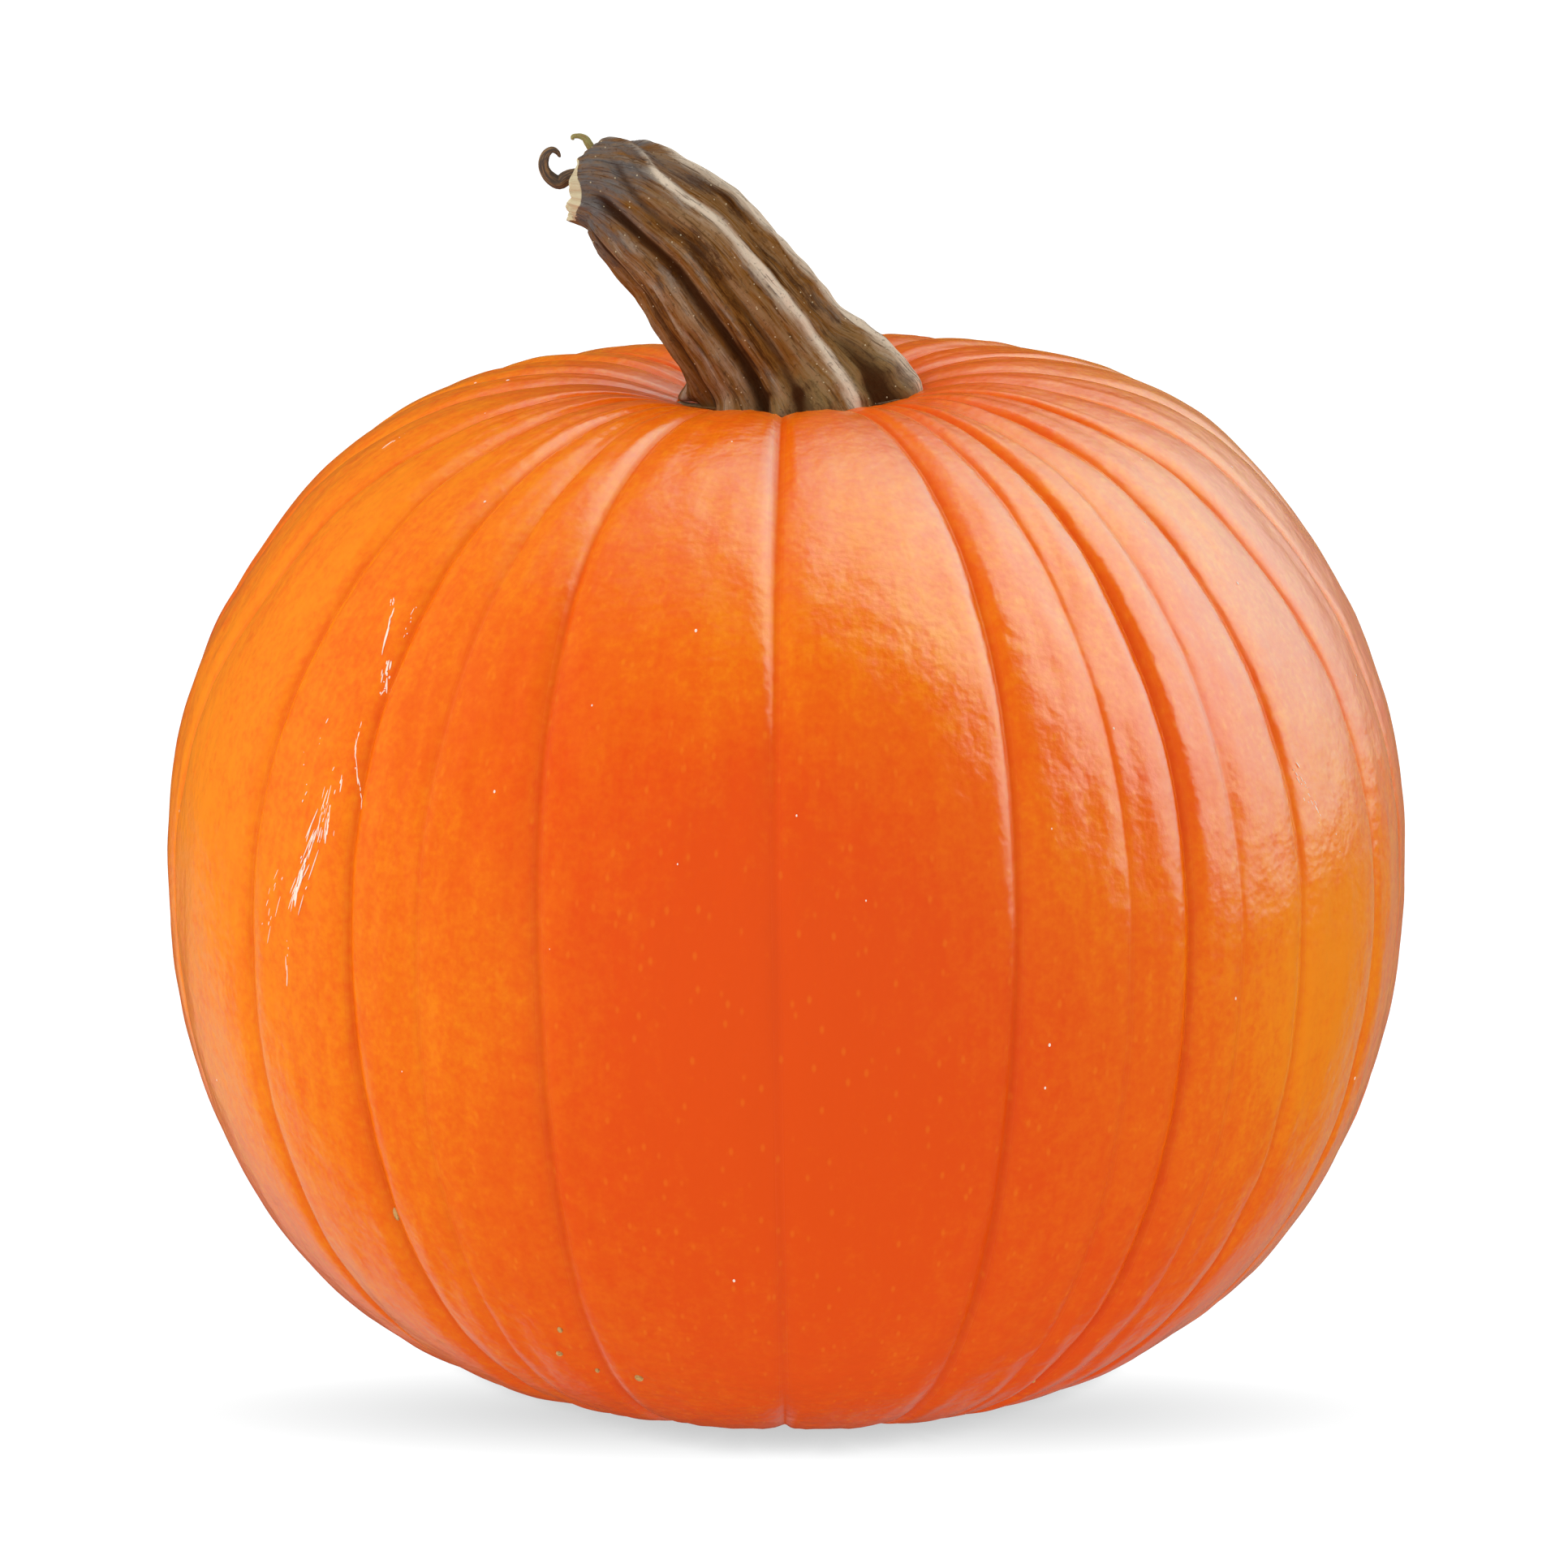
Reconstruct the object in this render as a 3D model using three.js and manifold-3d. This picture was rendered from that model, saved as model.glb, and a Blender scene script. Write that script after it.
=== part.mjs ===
// A ripe orange pumpkin with its cut, woody stem, resting on a small flat spot.
// Millimetres, +Z up, origin on the surface it rests on, under the middle of the fruit.
// The stem leans to -X, and the side with the mapped ribs faces -Y.
import * as THREE from 'three';
import { mergeVertices } from 'three/addons/utils/BufferGeometryUtils.js';
import Module from 'manifold-3d';

// Fruit: the profile from blossom end to stem end, before ribs
const FRUIT_RADIUS = 140.2;
const CROWN_HEIGHT = 115.5;
const CROWN_ROUNDING = 0.975;
const BASE_DEPTH = 123.5;
const BASE_ROUNDING = 0.91;
const SIDE_FULLNESS = 0.71;
const WELL_DEPTH = 16;
const WELL_RADIUS = 31;
const DIMPLE_DEPTH = 7;
const DIMPLE_RADIUS = 24;
const WIDEST_HEIGHT = 120.4; // widest ring above the resting spot, which cuts the lowest 1 mm flat

// Fruit: the sharp crease and the broad rounding that share a rib groove's depth
const CREASE_SHARE = 0.7;
const CREASE_WIDTH = 3;
const LOBE_POWER = 2;
const RIB_FADE_TOP = 13;
const RIB_FADE_BASE = 24;
const CALM_SHARE = 0.8; // how far the relief calms down on the rim and walls of the stem well
const CALM_RADIUS = 38;

// Rib grooves in order round the fruit. Degrees from -Y towards +X at the widest ring, with the
// slant and bow that carry it to the ends, then its depth near the stem, at the widest ring and below.
const GROOVES = [
  { at: -174, slant: 1.5, bow: -1, crown: 2.6, middle: 2.2, base: 1.8 },
  { at: -156, slant: -1, bow: 2, crown: 2.4, middle: 1.8, base: 1.6 },
  { at: -138, slant: 2, bow: 0, crown: 2.8, middle: 2.5, base: 2.0 },
  { at: -122, slant: -1.5, bow: 1, crown: 2.2, middle: 1.6, base: 1.4 },
  { at: -108, slant: 1, bow: 2, crown: 2.6, middle: 2.0, base: 1.7 },
  { at: -94, slant: 1, bow: 4, crown: 2.4, middle: 1.6, base: 1.4 },
  { at: -80.5, slant: 2.3, bow: 8.5, crown: 2.4, middle: 1.9, base: 1.6 },
  { at: -58.2, slant: -1.2, bow: 2.1, crown: 2.2, middle: 1.9, base: 1.7 },
  { at: -43.4, slant: -2.6, bow: 1.8, crown: 1.8, middle: 2.5, base: 2.1 },
  { at: -35, slant: -1.5, bow: 1.5, crown: 1.2, middle: 0.5, base: 0.5 },
  { at: -22.5, slant: -2.5, bow: -2.1, crown: 2.4, middle: 1.6, base: 1.8 },
  { at: -0.8, slant: -0.7, bow: 0, crown: 3.0, middle: 0.9, base: 1.5 },
  { at: 20.9, slant: 2.3, bow: 0.3, crown: 2.8, middle: 2.4, base: 1.6 },
  { at: 32.4, slant: 1.6, bow: -2, crown: 1.5, middle: 0.7, base: 0.5 },
  { at: 39.3, slant: 2.3, bow: -2.4, crown: 2.6, middle: 2.7, base: 2.2 },
  { at: 45.5, slant: 1.8, bow: -2.8, crown: 1.2, middle: 0.6, base: 0.7 },
  { at: 54.8, slant: 1.4, bow: -3.3, crown: 2.5, middle: 1.8, base: 1.9 },
  { at: 70.5, slant: 1, bow: -7.8, crown: 2.4, middle: 1.6, base: 1.7 },
  { at: 81, slant: 1, bow: -5, crown: 1.8, middle: 1.3, base: 1.3 },
  { at: 95, slant: 0, bow: -2, crown: 2.6, middle: 2.1, base: 1.8 },
  { at: 112, slant: -1, bow: 1, crown: 2.4, middle: 1.9, base: 1.6 },
  { at: 130, slant: 1.5, bow: -1, crown: 2.7, middle: 2.4, base: 2.0 },
  { at: 149, slant: -1.5, bow: 1, crown: 2.3, middle: 1.7, base: 1.5 },
  { at: 167, slant: 1, bow: 0, crown: 2.6, middle: 2.2, base: 1.8 },
];

// Where the fruit is fuller or slacker than its profile (degrees from -Y, degrees up, mm)
const SWELLS = [
  { azimuth: 92, latitude: 58, width: 50, height: 13, rise: 2.8 },
  { azimuth: 162, latitude: 77, width: 35, height: 14, rise: -2 },
  { azimuth: -100, latitude: 80, width: 50, height: 13, rise: -2 },
  { azimuth: -150, latitude: 74, width: 35, height: 14, rise: -2.4 },
  { azimuth: -92, latitude: 36, width: 45, height: 11, rise: -1.4 },
  { azimuth: -70, latitude: -50, width: 50, height: 22, rise: 0.9 },
  { azimuth: 62, latitude: -68, width: 40, height: 16, rise: 1.2 },
];

// Fruit mesh: where its columns stand between two grooves, its rings, and their crowding at the ends
const COLUMN_FRACTIONS = [0, 0.09, 0.32, 0.68, 0.91];
const FRUIT_RINGS = 37;
const END_CROWDING = 1.3;
const END_REACH = 52;

// Stem centreline: across, height over the widest ring, forward lean, and radius to the ridges' crests
const STEM_PATH = [
  { x: 6, z: 90, y: 0, radius: 26 },
  { x: 4, z: 101.5, y: 0, radius: 26 },
  { x: 1.8, z: 107.5, y: 0, radius: 22.6 },
  { x: -2.2, z: 114.6, y: 0, radius: 18.9 },
  { x: -8.6, z: 123.6, y: -0.5, radius: 18 },
  { x: -15.2, z: 132.2, y: -1, radius: 17.3 },
  { x: -21.7, z: 140.2, y: -1.5, radius: 16.6 },
  { x: -28, z: 145.9, y: -2, radius: 15.7 },
  { x: -35, z: 151.4, y: -2.3, radius: 13.8 },
  { x: -41.6, z: 154.6, y: -2.6, radius: 11.3 },
  { x: -48, z: 155.4, y: -3, radius: 8.9 },
];
const STEM_RINGS = 26;
const STEM_COLUMNS = 48;

// Stem furrows: degrees round it from the front (-Y) towards its upper side, depth as a share of radius
const STEM_FURROWS = [
  { at: -59, depth: 0.1, width: 8 },
  { at: -15, depth: 0.2, width: 8 },
  { at: 10, depth: 0.07, width: 6 },
  { at: 63, depth: 0.15, width: 12 },
  { at: 108, depth: 0.1, width: 8 },
  { at: 138, depth: 0.17, width: 12 },
  { at: 171, depth: 0.14, width: 12 },
  { at: 205, depth: 0.18, width: 12 },
  { at: 236, depth: 0.15, width: 11 },
  { at: 265, depth: 0.13, width: 9 },
];
// Root-like toes that spread from its ridges on to the skin
const STEM_TOES = [
  { at: 80, reach: 0.11, width: 20 },
  { at: 24, reach: 0.1, width: 14 },
  { at: -10, reach: 0.07, width: 14 },
  { at: -42, reach: 0.16, width: 13 },
  { at: -80, reach: 0.18, width: 14 },
  { at: 145, reach: 0.14, width: 15 },
  { at: 222, reach: 0.12, width: 15 },
];
const TOE_FADE = 0.13; // share of the centreline over which the toes die out

// How its ridges turn (degrees), over which shares of the centreline: towards the upper side near
// the cut, most of all far from one still side, and back at the foot
const CUT_TURN = { degrees: 50, from: 0.74, to: 0.94, stillSide: -40, spread: 120 };
const FOOT_TURN = { degrees: 10, from: 0.1, to: 0.35 };
const FLATTER_END = { share: 0.65, from: 0.84, to: 0.98 }; // how its furrows die out near the cut
const CUT_JAG = 0.9; // how far the torn rim of the cut end wavers
// Where the rim of the cut is worn back
const CUT_SLANTS = [
  { depth: 6, at: 110, width: 45 },
  { depth: 2.6, at: -85, width: 45 },
];
const SLANT_FROM = 0.8; // share of the centreline from which its rings lean towards the cut
const CUT_HOLLOW = 1.8; // how far its pith has shrunk back
const CUT_RIM_SHARE = 0.72; // where the rim ends and the pith begins
const SKIN_GAP = 0.35; // between the stem's foot and the skin

// Torn fibres that curl from the cut end: x and height over the widest ring, and thickness
const CURLS = [
  {
    points: [[-44.5, 157], [-48.6, 156.4], [-50.8, 155], [-53.3, 156.6], [-54.3, 159.1], [-53.7, 161.4],
      [-52.3, 162.5], [-51.1, 162], [-50.4, 160.8]],
    root: 1.8,
    tip: 0.4,
    forward: -3.2,
  },
  {
    points: [[-42, 161], [-44, 163.8], [-45, 165.2], [-46.3, 165.8], [-47.5, 165.6], [-47.6, 164.8]],
    root: 1,
    tip: 0.45,
    forward: -3.5,
  },
];
const CURL_SIDES = 7;
const CURL_STEPS = 22;
const MERGE_DISTANCE = 1e-4;

const wasm = await Module();
wasm.setup();

const radians = THREE.MathUtils.degToRad;

function bell(distance, width) {
  return Math.exp(-((distance / width) ** 2));
}

function turnBetween(a, b) {
  return THREE.MathUtils.euclideanModulo(a - b + 180, 360) - 180;
}

// Radius and height of the bare profile at a latitude, with the stem well and the blossom dimple
function profileAt(latitude) {
  const rise = Math.sin(latitude);
  const radius = FRUIT_RADIUS * Math.max(Math.cos(latitude), 0) ** SIDE_FULLNESS;
  const height = rise > 0
    ? CROWN_HEIGHT * rise ** CROWN_ROUNDING - WELL_DEPTH * bell(radius, WELL_RADIUS)
    : -BASE_DEPTH * (-rise) ** BASE_ROUNDING + DIMPLE_DEPTH * bell(radius, DIMPLE_RADIUS);
  return new THREE.Vector2(radius, height);
}

// Outward direction of the profile in its own plane
function profileNormal(latitude) {
  const step = 0.002;
  const low = profileAt(Math.max(latitude - step, -Math.PI / 2));
  const high = profileAt(Math.min(latitude + step, Math.PI / 2));
  const along = high.sub(low).normalize();
  return new THREE.Vector2(along.y, -along.x);
}

// Latitudes of the rings, spaced along the profile and closer together at both ends
function ringLatitudes() {
  const samples = 2000;
  const travelled = [0];
  for (let i = 1; i <= samples; i++) {
    const here = profileAt(-Math.PI / 2 + (Math.PI * i) / samples);
    const before = profileAt(-Math.PI / 2 + (Math.PI * (i - 1)) / samples);
    const weight = 1 + END_CROWDING * bell(here.x, END_REACH);
    travelled.push(travelled[i - 1] + here.distanceTo(before) * weight);
  }
  const latitudes = [];
  let sample = 0;
  for (let ring = 1; ring < FRUIT_RINGS; ring++) {
    const goal = (travelled[samples] * ring) / FRUIT_RINGS;
    while (travelled[sample] < goal) sample++;
    latitudes.push(-Math.PI / 2 + (Math.PI * sample) / samples);
  }
  return latitudes;
}

function grooveAzimuth(groove, latitude) {
  const rise = Math.sin(latitude);
  return groove.at + groove.slant * rise + groove.bow * rise * rise;
}

function grooveDepth(groove, latitude) {
  const rise = Math.sin(latitude);
  const end = rise > 0 ? groove.crown : groove.base;
  return groove.middle + (end - groove.middle) * rise * rise;
}

// How far the skin sinks between two grooves, at a share of the way across the rib
function ribSink(left, right, share, width, latitude) {
  const leftDepth = grooveDepth(left, latitude);
  const rightDepth = grooveDepth(right, latitude);
  const broad = THREE.MathUtils.lerp(leftDepth, rightDepth, THREE.MathUtils.smoothstep(share, 0, 1));
  const lobe = (1 - CREASE_SHARE) * broad * Math.abs(2 * share - 1) ** LOBE_POWER;
  const creases = leftDepth * bell(share * width, CREASE_WIDTH)
    + rightDepth * bell((1 - share) * width, CREASE_WIDTH);
  return lobe + CREASE_SHARE * creases;
}

function swellAt(azimuth, latitude) {
  const degrees = THREE.MathUtils.radToDeg(latitude);
  return SWELLS.reduce((sum, swell) => sum + swell.rise
    * bell(turnBetween(azimuth, swell.azimuth), swell.width)
    * bell(degrees - swell.latitude, swell.height), 0);
}

// One ring of skin points, following the grooves as they drift with latitude
function skinRing(latitude) {
  const profile = profileAt(latitude);
  const normal = profileNormal(latitude);
  const calm = latitude > 0 ? CALM_SHARE * bell(profile.x, CALM_RADIUS) : 0;
  const fade = (1 - calm) * (1 - bell(profile.x, latitude > 0 ? RIB_FADE_TOP : RIB_FADE_BASE));
  const points = [];
  GROOVES.forEach((left, index) => {
    const right = GROOVES[(index + 1) % GROOVES.length];
    const start = grooveAzimuth(left, latitude);
    const turn = THREE.MathUtils.euclideanModulo(grooveAzimuth(right, latitude) - start, 360);
    const width = profile.x * radians(turn);
    for (const share of COLUMN_FRACTIONS) {
      const azimuth = start + turn * share;
      const sink = fade * ribSink(left, right, share, width, latitude) - swellAt(azimuth, latitude);
      const radius = profile.x - normal.x * sink;
      const height = WIDEST_HEIGHT + profile.y - normal.y * sink;
      points.push(
        radius * Math.sin(radians(azimuth)),
        -radius * Math.cos(radians(azimuth)),
        Math.max(height, 0),
      );
    }
  });
  return points;
}

// Closes a stack of equal rings, listed upwards and anticlockwise, with a point at each end
function stackedRings(rings, bottom, top) {
  const columns = rings[0].length / 3;
  const positions = [...bottom, ...rings.flat(), ...top];
  const last = positions.length / 3 - 1;
  const at = (ring, column) => 1 + ring * columns + (column % columns);
  const index = [];
  for (let column = 0; column < columns; column++) {
    index.push(0, at(0, column + 1), at(0, column));
    for (let ring = 0; ring + 1 < rings.length; ring++) {
      index.push(at(ring, column), at(ring, column + 1), at(ring + 1, column + 1));
      index.push(at(ring, column), at(ring + 1, column + 1), at(ring + 1, column));
    }
    index.push(at(rings.length - 1, column), at(rings.length - 1, column + 1), last);
  }
  const geometry = new THREE.BufferGeometry();
  geometry.setAttribute('position', new THREE.Float32BufferAttribute(positions, 3));
  geometry.setIndex(index);
  return geometry;
}

function fruitGeometry() {
  const bottom = WIDEST_HEIGHT + profileAt(-Math.PI / 2).y;
  const top = WIDEST_HEIGHT + profileAt(Math.PI / 2).y;
  return stackedRings(ringLatitudes().map(skinRing), [0, 0, bottom], [0, 0, top]);
}

// The angle at mid-height of the ridge that passes a place round the stem
function ridgeAngle(around, along) {
  const away = Math.abs(turnBetween(around, CUT_TURN.stillSide));
  const turned = CUT_TURN.degrees * THREE.MathUtils.smoothstep(away, 0, CUT_TURN.spread)
    * THREE.MathUtils.smoothstep(along, CUT_TURN.from, CUT_TURN.to);
  const back = FOOT_TURN.degrees
    * (1 - THREE.MathUtils.smoothstep(along, FOOT_TURN.from, FOOT_TURN.to));
  return around - turned + back;
}

// Radius of the stem at an angle round it, as a share of the radius to the crests
function stemRelief(angle, along) {
  const furrows = STEM_FURROWS.reduce((sum, furrow) => sum
    + furrow.depth * bell(turnBetween(angle, furrow.at), furrow.width), 0);
  const toes = STEM_TOES.reduce((sum, toe) => sum
    + toe.reach * bell(turnBetween(angle, toe.at), toe.width), 0);
  const fromSkin = Math.max(along - 1 / (STEM_PATH.length - 1), 0);
  const flatter = FLATTER_END.share
    * THREE.MathUtils.smoothstep(along, FLATTER_END.from, FLATTER_END.to);
  return 1 - (1 - flatter) * furrows + toes * bell(fromSkin, TOE_FADE);
}

function stemGeometry() {
  const centre = new THREE.CatmullRomCurve3(
    STEM_PATH.map((p) => new THREE.Vector3(p.x, p.y, WIDEST_HEIGHT + p.z)), false, 'catmullrom',
  );
  const girth = new THREE.CatmullRomCurve3(
    STEM_PATH.map((p) => new THREE.Vector3(p.radius, 0, 0)), false, 'catmullrom',
  );
  const front = new THREE.Vector3(0, -1, 0);
  const ringAt = (along, scale, push) => {
    const middle = centre.getPoint(along);
    const tangent = centre.getTangent(along);
    const upper = new THREE.Vector3().crossVectors(tangent, front).normalize();
    const radius = girth.getPoint(along).x * scale;
    const points = [];
    for (let column = 0; column < STEM_COLUMNS; column++) {
      const angle = (360 * column) / STEM_COLUMNS;
      const reach = radius * stemRelief(ridgeAngle(angle, along), along);
      const point = middle.clone()
        .addScaledVector(front, reach * Math.cos(radians(angle)))
        .addScaledVector(upper, reach * Math.sin(radians(angle)))
        .addScaledVector(tangent, push(angle, along));
      points.push(...point.toArray());
    }
    return points;
  };
  const slanted = (angle, along) => CUT_SLANTS.reduce((sum, slant) => sum
    - slant.depth * bell(turnBetween(angle, slant.at), slant.width), 0)
    * THREE.MathUtils.smoothstep(along, SLANT_FROM, 1);
  const torn = (angle, along) => slanted(angle, along)
    + (CUT_JAG * (Math.sin(3 * radians(angle) + 1) + Math.sin(8 * radians(angle)))) / 2;
  const sunk = (angle, along) => CUT_RIM_SHARE * slanted(angle, along) - CUT_HOLLOW / 2;
  const rings = [];
  for (let ring = 0; ring < STEM_RINGS; ring++) {
    rings.push(ringAt(ring / STEM_RINGS, 1, slanted));
  }
  rings.push(ringAt(1, 1, torn));
  rings.push(ringAt(1, CUT_RIM_SHARE, sunk));
  const end = centre.getPoint(1).addScaledVector(centre.getTangent(1), -CUT_HOLLOW);
  return stackedRings(rings, centre.getPoint(0).toArray(), end.toArray());
}

// A tapering fibre that curls in an upright plane
function curlGeometry(curl) {
  const path = new THREE.CatmullRomCurve3(
    curl.points.map(([x, z]) => new THREE.Vector3(x, curl.forward, WIDEST_HEIGHT + z)),
  );
  const front = new THREE.Vector3(0, -1, 0);
  const rings = [];
  for (let step = 0; step <= CURL_STEPS; step++) {
    const along = step / CURL_STEPS;
    const middle = path.getPoint(along);
    const side = new THREE.Vector3().crossVectors(path.getTangent(along), front).normalize();
    const radius = THREE.MathUtils.lerp(curl.root, curl.tip, along * along);
    const points = [];
    for (let corner = 0; corner < CURL_SIDES; corner++) {
      const angle = (2 * Math.PI * corner) / CURL_SIDES;
      const point = middle.clone()
        .addScaledVector(front, radius * Math.cos(angle))
        .addScaledVector(side, radius * Math.sin(angle));
      points.push(...point.toArray());
    }
    rings.push(points);
  }
  return stackedRings(rings, path.getPoint(0).toArray(), path.getPoint(1).toArray());
}

function toSolid(geometry) {
  const merged = mergeVertices(geometry, MERGE_DISTANCE);
  return new wasm.Manifold(new wasm.Mesh({
    numProp: 3,
    vertProperties: new Float32Array(merged.attributes.position.array),
    triVerts: new Uint32Array(merged.index.array),
  }));
}

function toGeometry(solid) {
  const mesh = solid.getMesh();
  const geometry = new THREE.BufferGeometry();
  geometry.setAttribute('position', new THREE.BufferAttribute(mesh.vertProperties, 3));
  geometry.setIndex(new THREE.BufferAttribute(mesh.triVerts, 1));
  geometry.computeVertexNormals();
  return geometry;
}

// The stem stops a hair over the skin all round its foot
function seatedStem(skin) {
  const raisedSkin = toSolid(skin.clone().translate(0, 0, SKIN_GAP));
  const stalk = toSolid(stemGeometry());
  const grown = CURLS.reduce((stem, curl) => stem.add(toSolid(curlGeometry(curl))), stalk);
  return toGeometry(grown.subtract(raisedSkin));
}

function named(name, geometry, color, roughness) {
  const material = new THREE.MeshStandardMaterial({ color, roughness, metalness: 0 });
  const mesh = new THREE.Mesh(geometry, material);
  mesh.name = name;
  return mesh;
}

const skin = fruitGeometry();
const pumpkin = new THREE.Group();
pumpkin.name = 'pumpkin';
pumpkin.add(named('fruit', skin, 0xee6a0a, 0.42));
pumpkin.add(named('stem', seatedStem(skin), 0x7d6040, 0.85));

export default pumpkin;
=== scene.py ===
"""A ripe orange pumpkin with its cut, woody stem, seen in soft daylight on a white floor.

Shapes are in metres, and angles are in degrees unless a comment says otherwise.
Azimuth is measured round the fruit from -Y towards +X.
"""

import math
import random

import bpy
import numpy as np
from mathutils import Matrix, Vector, noise


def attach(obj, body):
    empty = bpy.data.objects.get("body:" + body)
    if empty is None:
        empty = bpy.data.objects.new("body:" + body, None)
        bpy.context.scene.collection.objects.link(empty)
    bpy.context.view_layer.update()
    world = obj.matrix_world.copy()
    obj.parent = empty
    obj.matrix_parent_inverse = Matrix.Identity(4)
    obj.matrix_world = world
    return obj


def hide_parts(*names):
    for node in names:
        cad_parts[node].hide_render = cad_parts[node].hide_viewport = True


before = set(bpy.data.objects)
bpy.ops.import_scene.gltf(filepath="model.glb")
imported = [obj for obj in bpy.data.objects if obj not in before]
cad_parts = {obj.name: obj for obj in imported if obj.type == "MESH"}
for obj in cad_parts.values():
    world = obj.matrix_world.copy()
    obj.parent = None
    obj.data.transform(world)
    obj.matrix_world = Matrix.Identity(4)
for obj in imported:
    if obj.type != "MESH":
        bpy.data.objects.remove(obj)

bl_info = {
    "name": "Pumpkin",
    "version": (1, 0, 0),
    "blender": (4, 5, 0),
    "location": "3D View > Sidebar > Pumpkin",
    "description": "Grows a ribbed pumpkin with a woody stem, and sets its stage",
    "category": "Add Mesh",
}

MM = 0.001
SEAM_GAP = 0.0005 * MM
FRONT = np.array([0.0, -1.0, 0.0])

# Fruit: how its bare profile rounds off, and the blossom dimple underneath
CROWN_ROUNDING = 0.975
BASE_ROUNDING = 0.91
SIDE_FULLNESS = 0.71
WELL_RADIUS = 31 * MM
DIMPLE_DEPTH = 7 * MM
DIMPLE_RADIUS = 24 * MM

# Fruit: the sharp crease and the broad rounding that share a rib groove's depth
CREASE_SHARE = 0.72
CREASE_WIDTH = 1.5 * MM
CREASE_ROUNDING = 0.35 * MM
LOBE_POWER = 2.0
# Where the ribs fade out at both ends, and how far round the well, and by what share, they are calmer
RIB_FADE_TOP = 13 * MM
RIB_FADE_BASE = 24 * MM
RIM_CALM = (50 * MM, 0.75)

# Rib grooves: azimuth at the widest ring, slant and bow in degrees, then the depth in millimetres
# near the stem, at the widest ring and below
GROOVES = np.array([
    (-174, 1.5, -1, 2.6, 2.2, 1.8),
    (-156, -1, 2, 2.4, 1.8, 1.6),
    (-138, 2, 0, 2.8, 2.5, 2.0),
    (-122, -1.5, 1, 2.2, 1.6, 1.4),
    (-108, 1, 2, 2.6, 2.0, 1.7),
    (-94, 1, 4, 2.4, 1.6, 1.4),
    (-80.5, 2.3, 8.5, 2.4, 1.9, 1.6),
    (-58.2, -1.2, 2.1, 2.2, 1.9, 1.7),
    (-43.4, -2.6, 1.8, 1.8, 2.5, 2.1),
    (-35, -1.5, 1.5, 1.2, 0.5, 0.5),
    (-22.5, -2.5, -2.1, 2.4, 1.6, 1.8),
    (-0.8, -0.7, 0, 3.0, 0.9, 1.5),
    (20.9, 2.3, 0.3, 2.8, 2.4, 1.6),
    (32.4, 1.6, -2, 1.5, 0.7, 0.5),
    (39.3, 2.3, -2.4, 2.6, 2.7, 2.2),
    (45.5, 1.8, -2.8, 1.2, 0.6, 0.7),
    (54.8, 1.4, -3.3, 2.5, 1.8, 1.9),
    (70.5, 1, -7.8, 2.4, 1.6, 1.7),
    (81, 1, -5, 1.8, 1.3, 1.3),
    (95, 0, -2, 2.6, 2.1, 1.8),
    (112, -1, 1, 2.4, 1.9, 1.6),
    (130, 1.5, -1, 2.7, 2.4, 2.0),
    (149, -1.5, 1, 2.3, 1.7, 1.5),
    (167, 1, 0, 2.6, 2.2, 1.8),
])

# Where the fruit is fuller or slacker: azimuth, latitude, width and height in degrees, rise in millimetres
SWELLS = (
    (92, 58, 50, 13, 2.8),
    (162, 77, 35, 14, -2),
    (-100, 80, 50, 13, -2),
    (-150, 74, 35, 14, -2.4),
    (-92, 36, 45, 11, -1.4),
    (-70, -50, 50, 22, 0.9),
    (62, -68, 40, 16, 1.2),
)

# Fruit mesh: columns to a rib, how far they crowd towards the grooves, rings, and their crowding at the ends
RIB_COLUMNS = 19
GROOVE_CROWDING = 0.78
FRUIT_RINGS = 212
END_CROWDING = 1.3
END_REACH = 52 * MM

# Half-width of the line of painted shade (darker and redder) and of duller wax in each groove
LINE_WIDTH = 1.0 * MM

# Fruit relief finer than the ribs: pleats round the well, ripples down the flanks, then lumps,
# which start a little over the surface and are full a little higher
PLEAT_COUNTS = (41, 53, 67, 83, 103)
PLEAT_DEPTH = 0.34 * MM
PLEAT_REACH = (52 * MM, 34 * MM)
FLANK_COUNTS = (29, 43, 61, 89, 127)
FLANK_DEPTH = 0.2 * MM
LUMP_SCALES = ((1 / (16 * MM), 0.28 * MM), (1 / (7 * MM), 0.13 * MM))
LUMP_START = 1 * MM
LUMP_GROWTH = 12 * MM

# Colour fields on the skin: azimuth, latitude, width, height and how much riper (more yellow) it is there
RIPE_PATCHES = (
    (0, 62, 900, 26, 0.6),
    (-64, 4, 30, 50, 0.86),
    (-40, -35, 28, 25, 0.25),
    (-29, -2, 10, 14, 0.32),
    (60, 2, 34, 30, 0.75),
    (17, 28, 14, 16, 0.2),
    (27, 13, 9, 9, 0.3),
    (62, -8, 14, 16, 0.3),
    (75, -35, 25, 20, 0.4),
    (125, 15, 32, 45, 0.6),
    (178, -5, 30, 35, 0.4),
    (-125, 20, 28, 50, 0.6),
    (0, 0, 18, 32, -0.27),
    (5, 40, 24, 12, 0.35),
    (-35, 14, 12, 12, 0.12),
    (-80, 10, 14, 30, 0.3),
)
SCAR_RADIUS = 8 * MM
SCAR_DEPTH = 1.2 * MM
# Refraction of the wax, how much the skin's colour varies, and the shine of wood, cork and dry skin
WAX_IOR = 1.33
UNEVENNESS = 1.3
DRY_SHINE = 0

# Stem centreline: across, forward and up from the widest ring in millimetres,
# then its radius to the ridges' crests
STEM_PATH = np.array([
    (6, 0, 90, 26),
    (4, 0, 101.5, 26),
    (1.8, 0, 107.5, 22.6),
    (-2.7, 0, 114.2, 19.5),
    (-9, -0.5, 123.3, 18.6),
    (-15.5, -1, 132, 17.7),
    (-21.7, -1.5, 140.2, 16.6),
    (-28, -2, 145.9, 15.7),
    (-35, -2.3, 151.4, 13.8),
    (-41.6, -2.6, 154.6, 11.3),
    (-48, -3, 155.4, 8.9),
])
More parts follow.
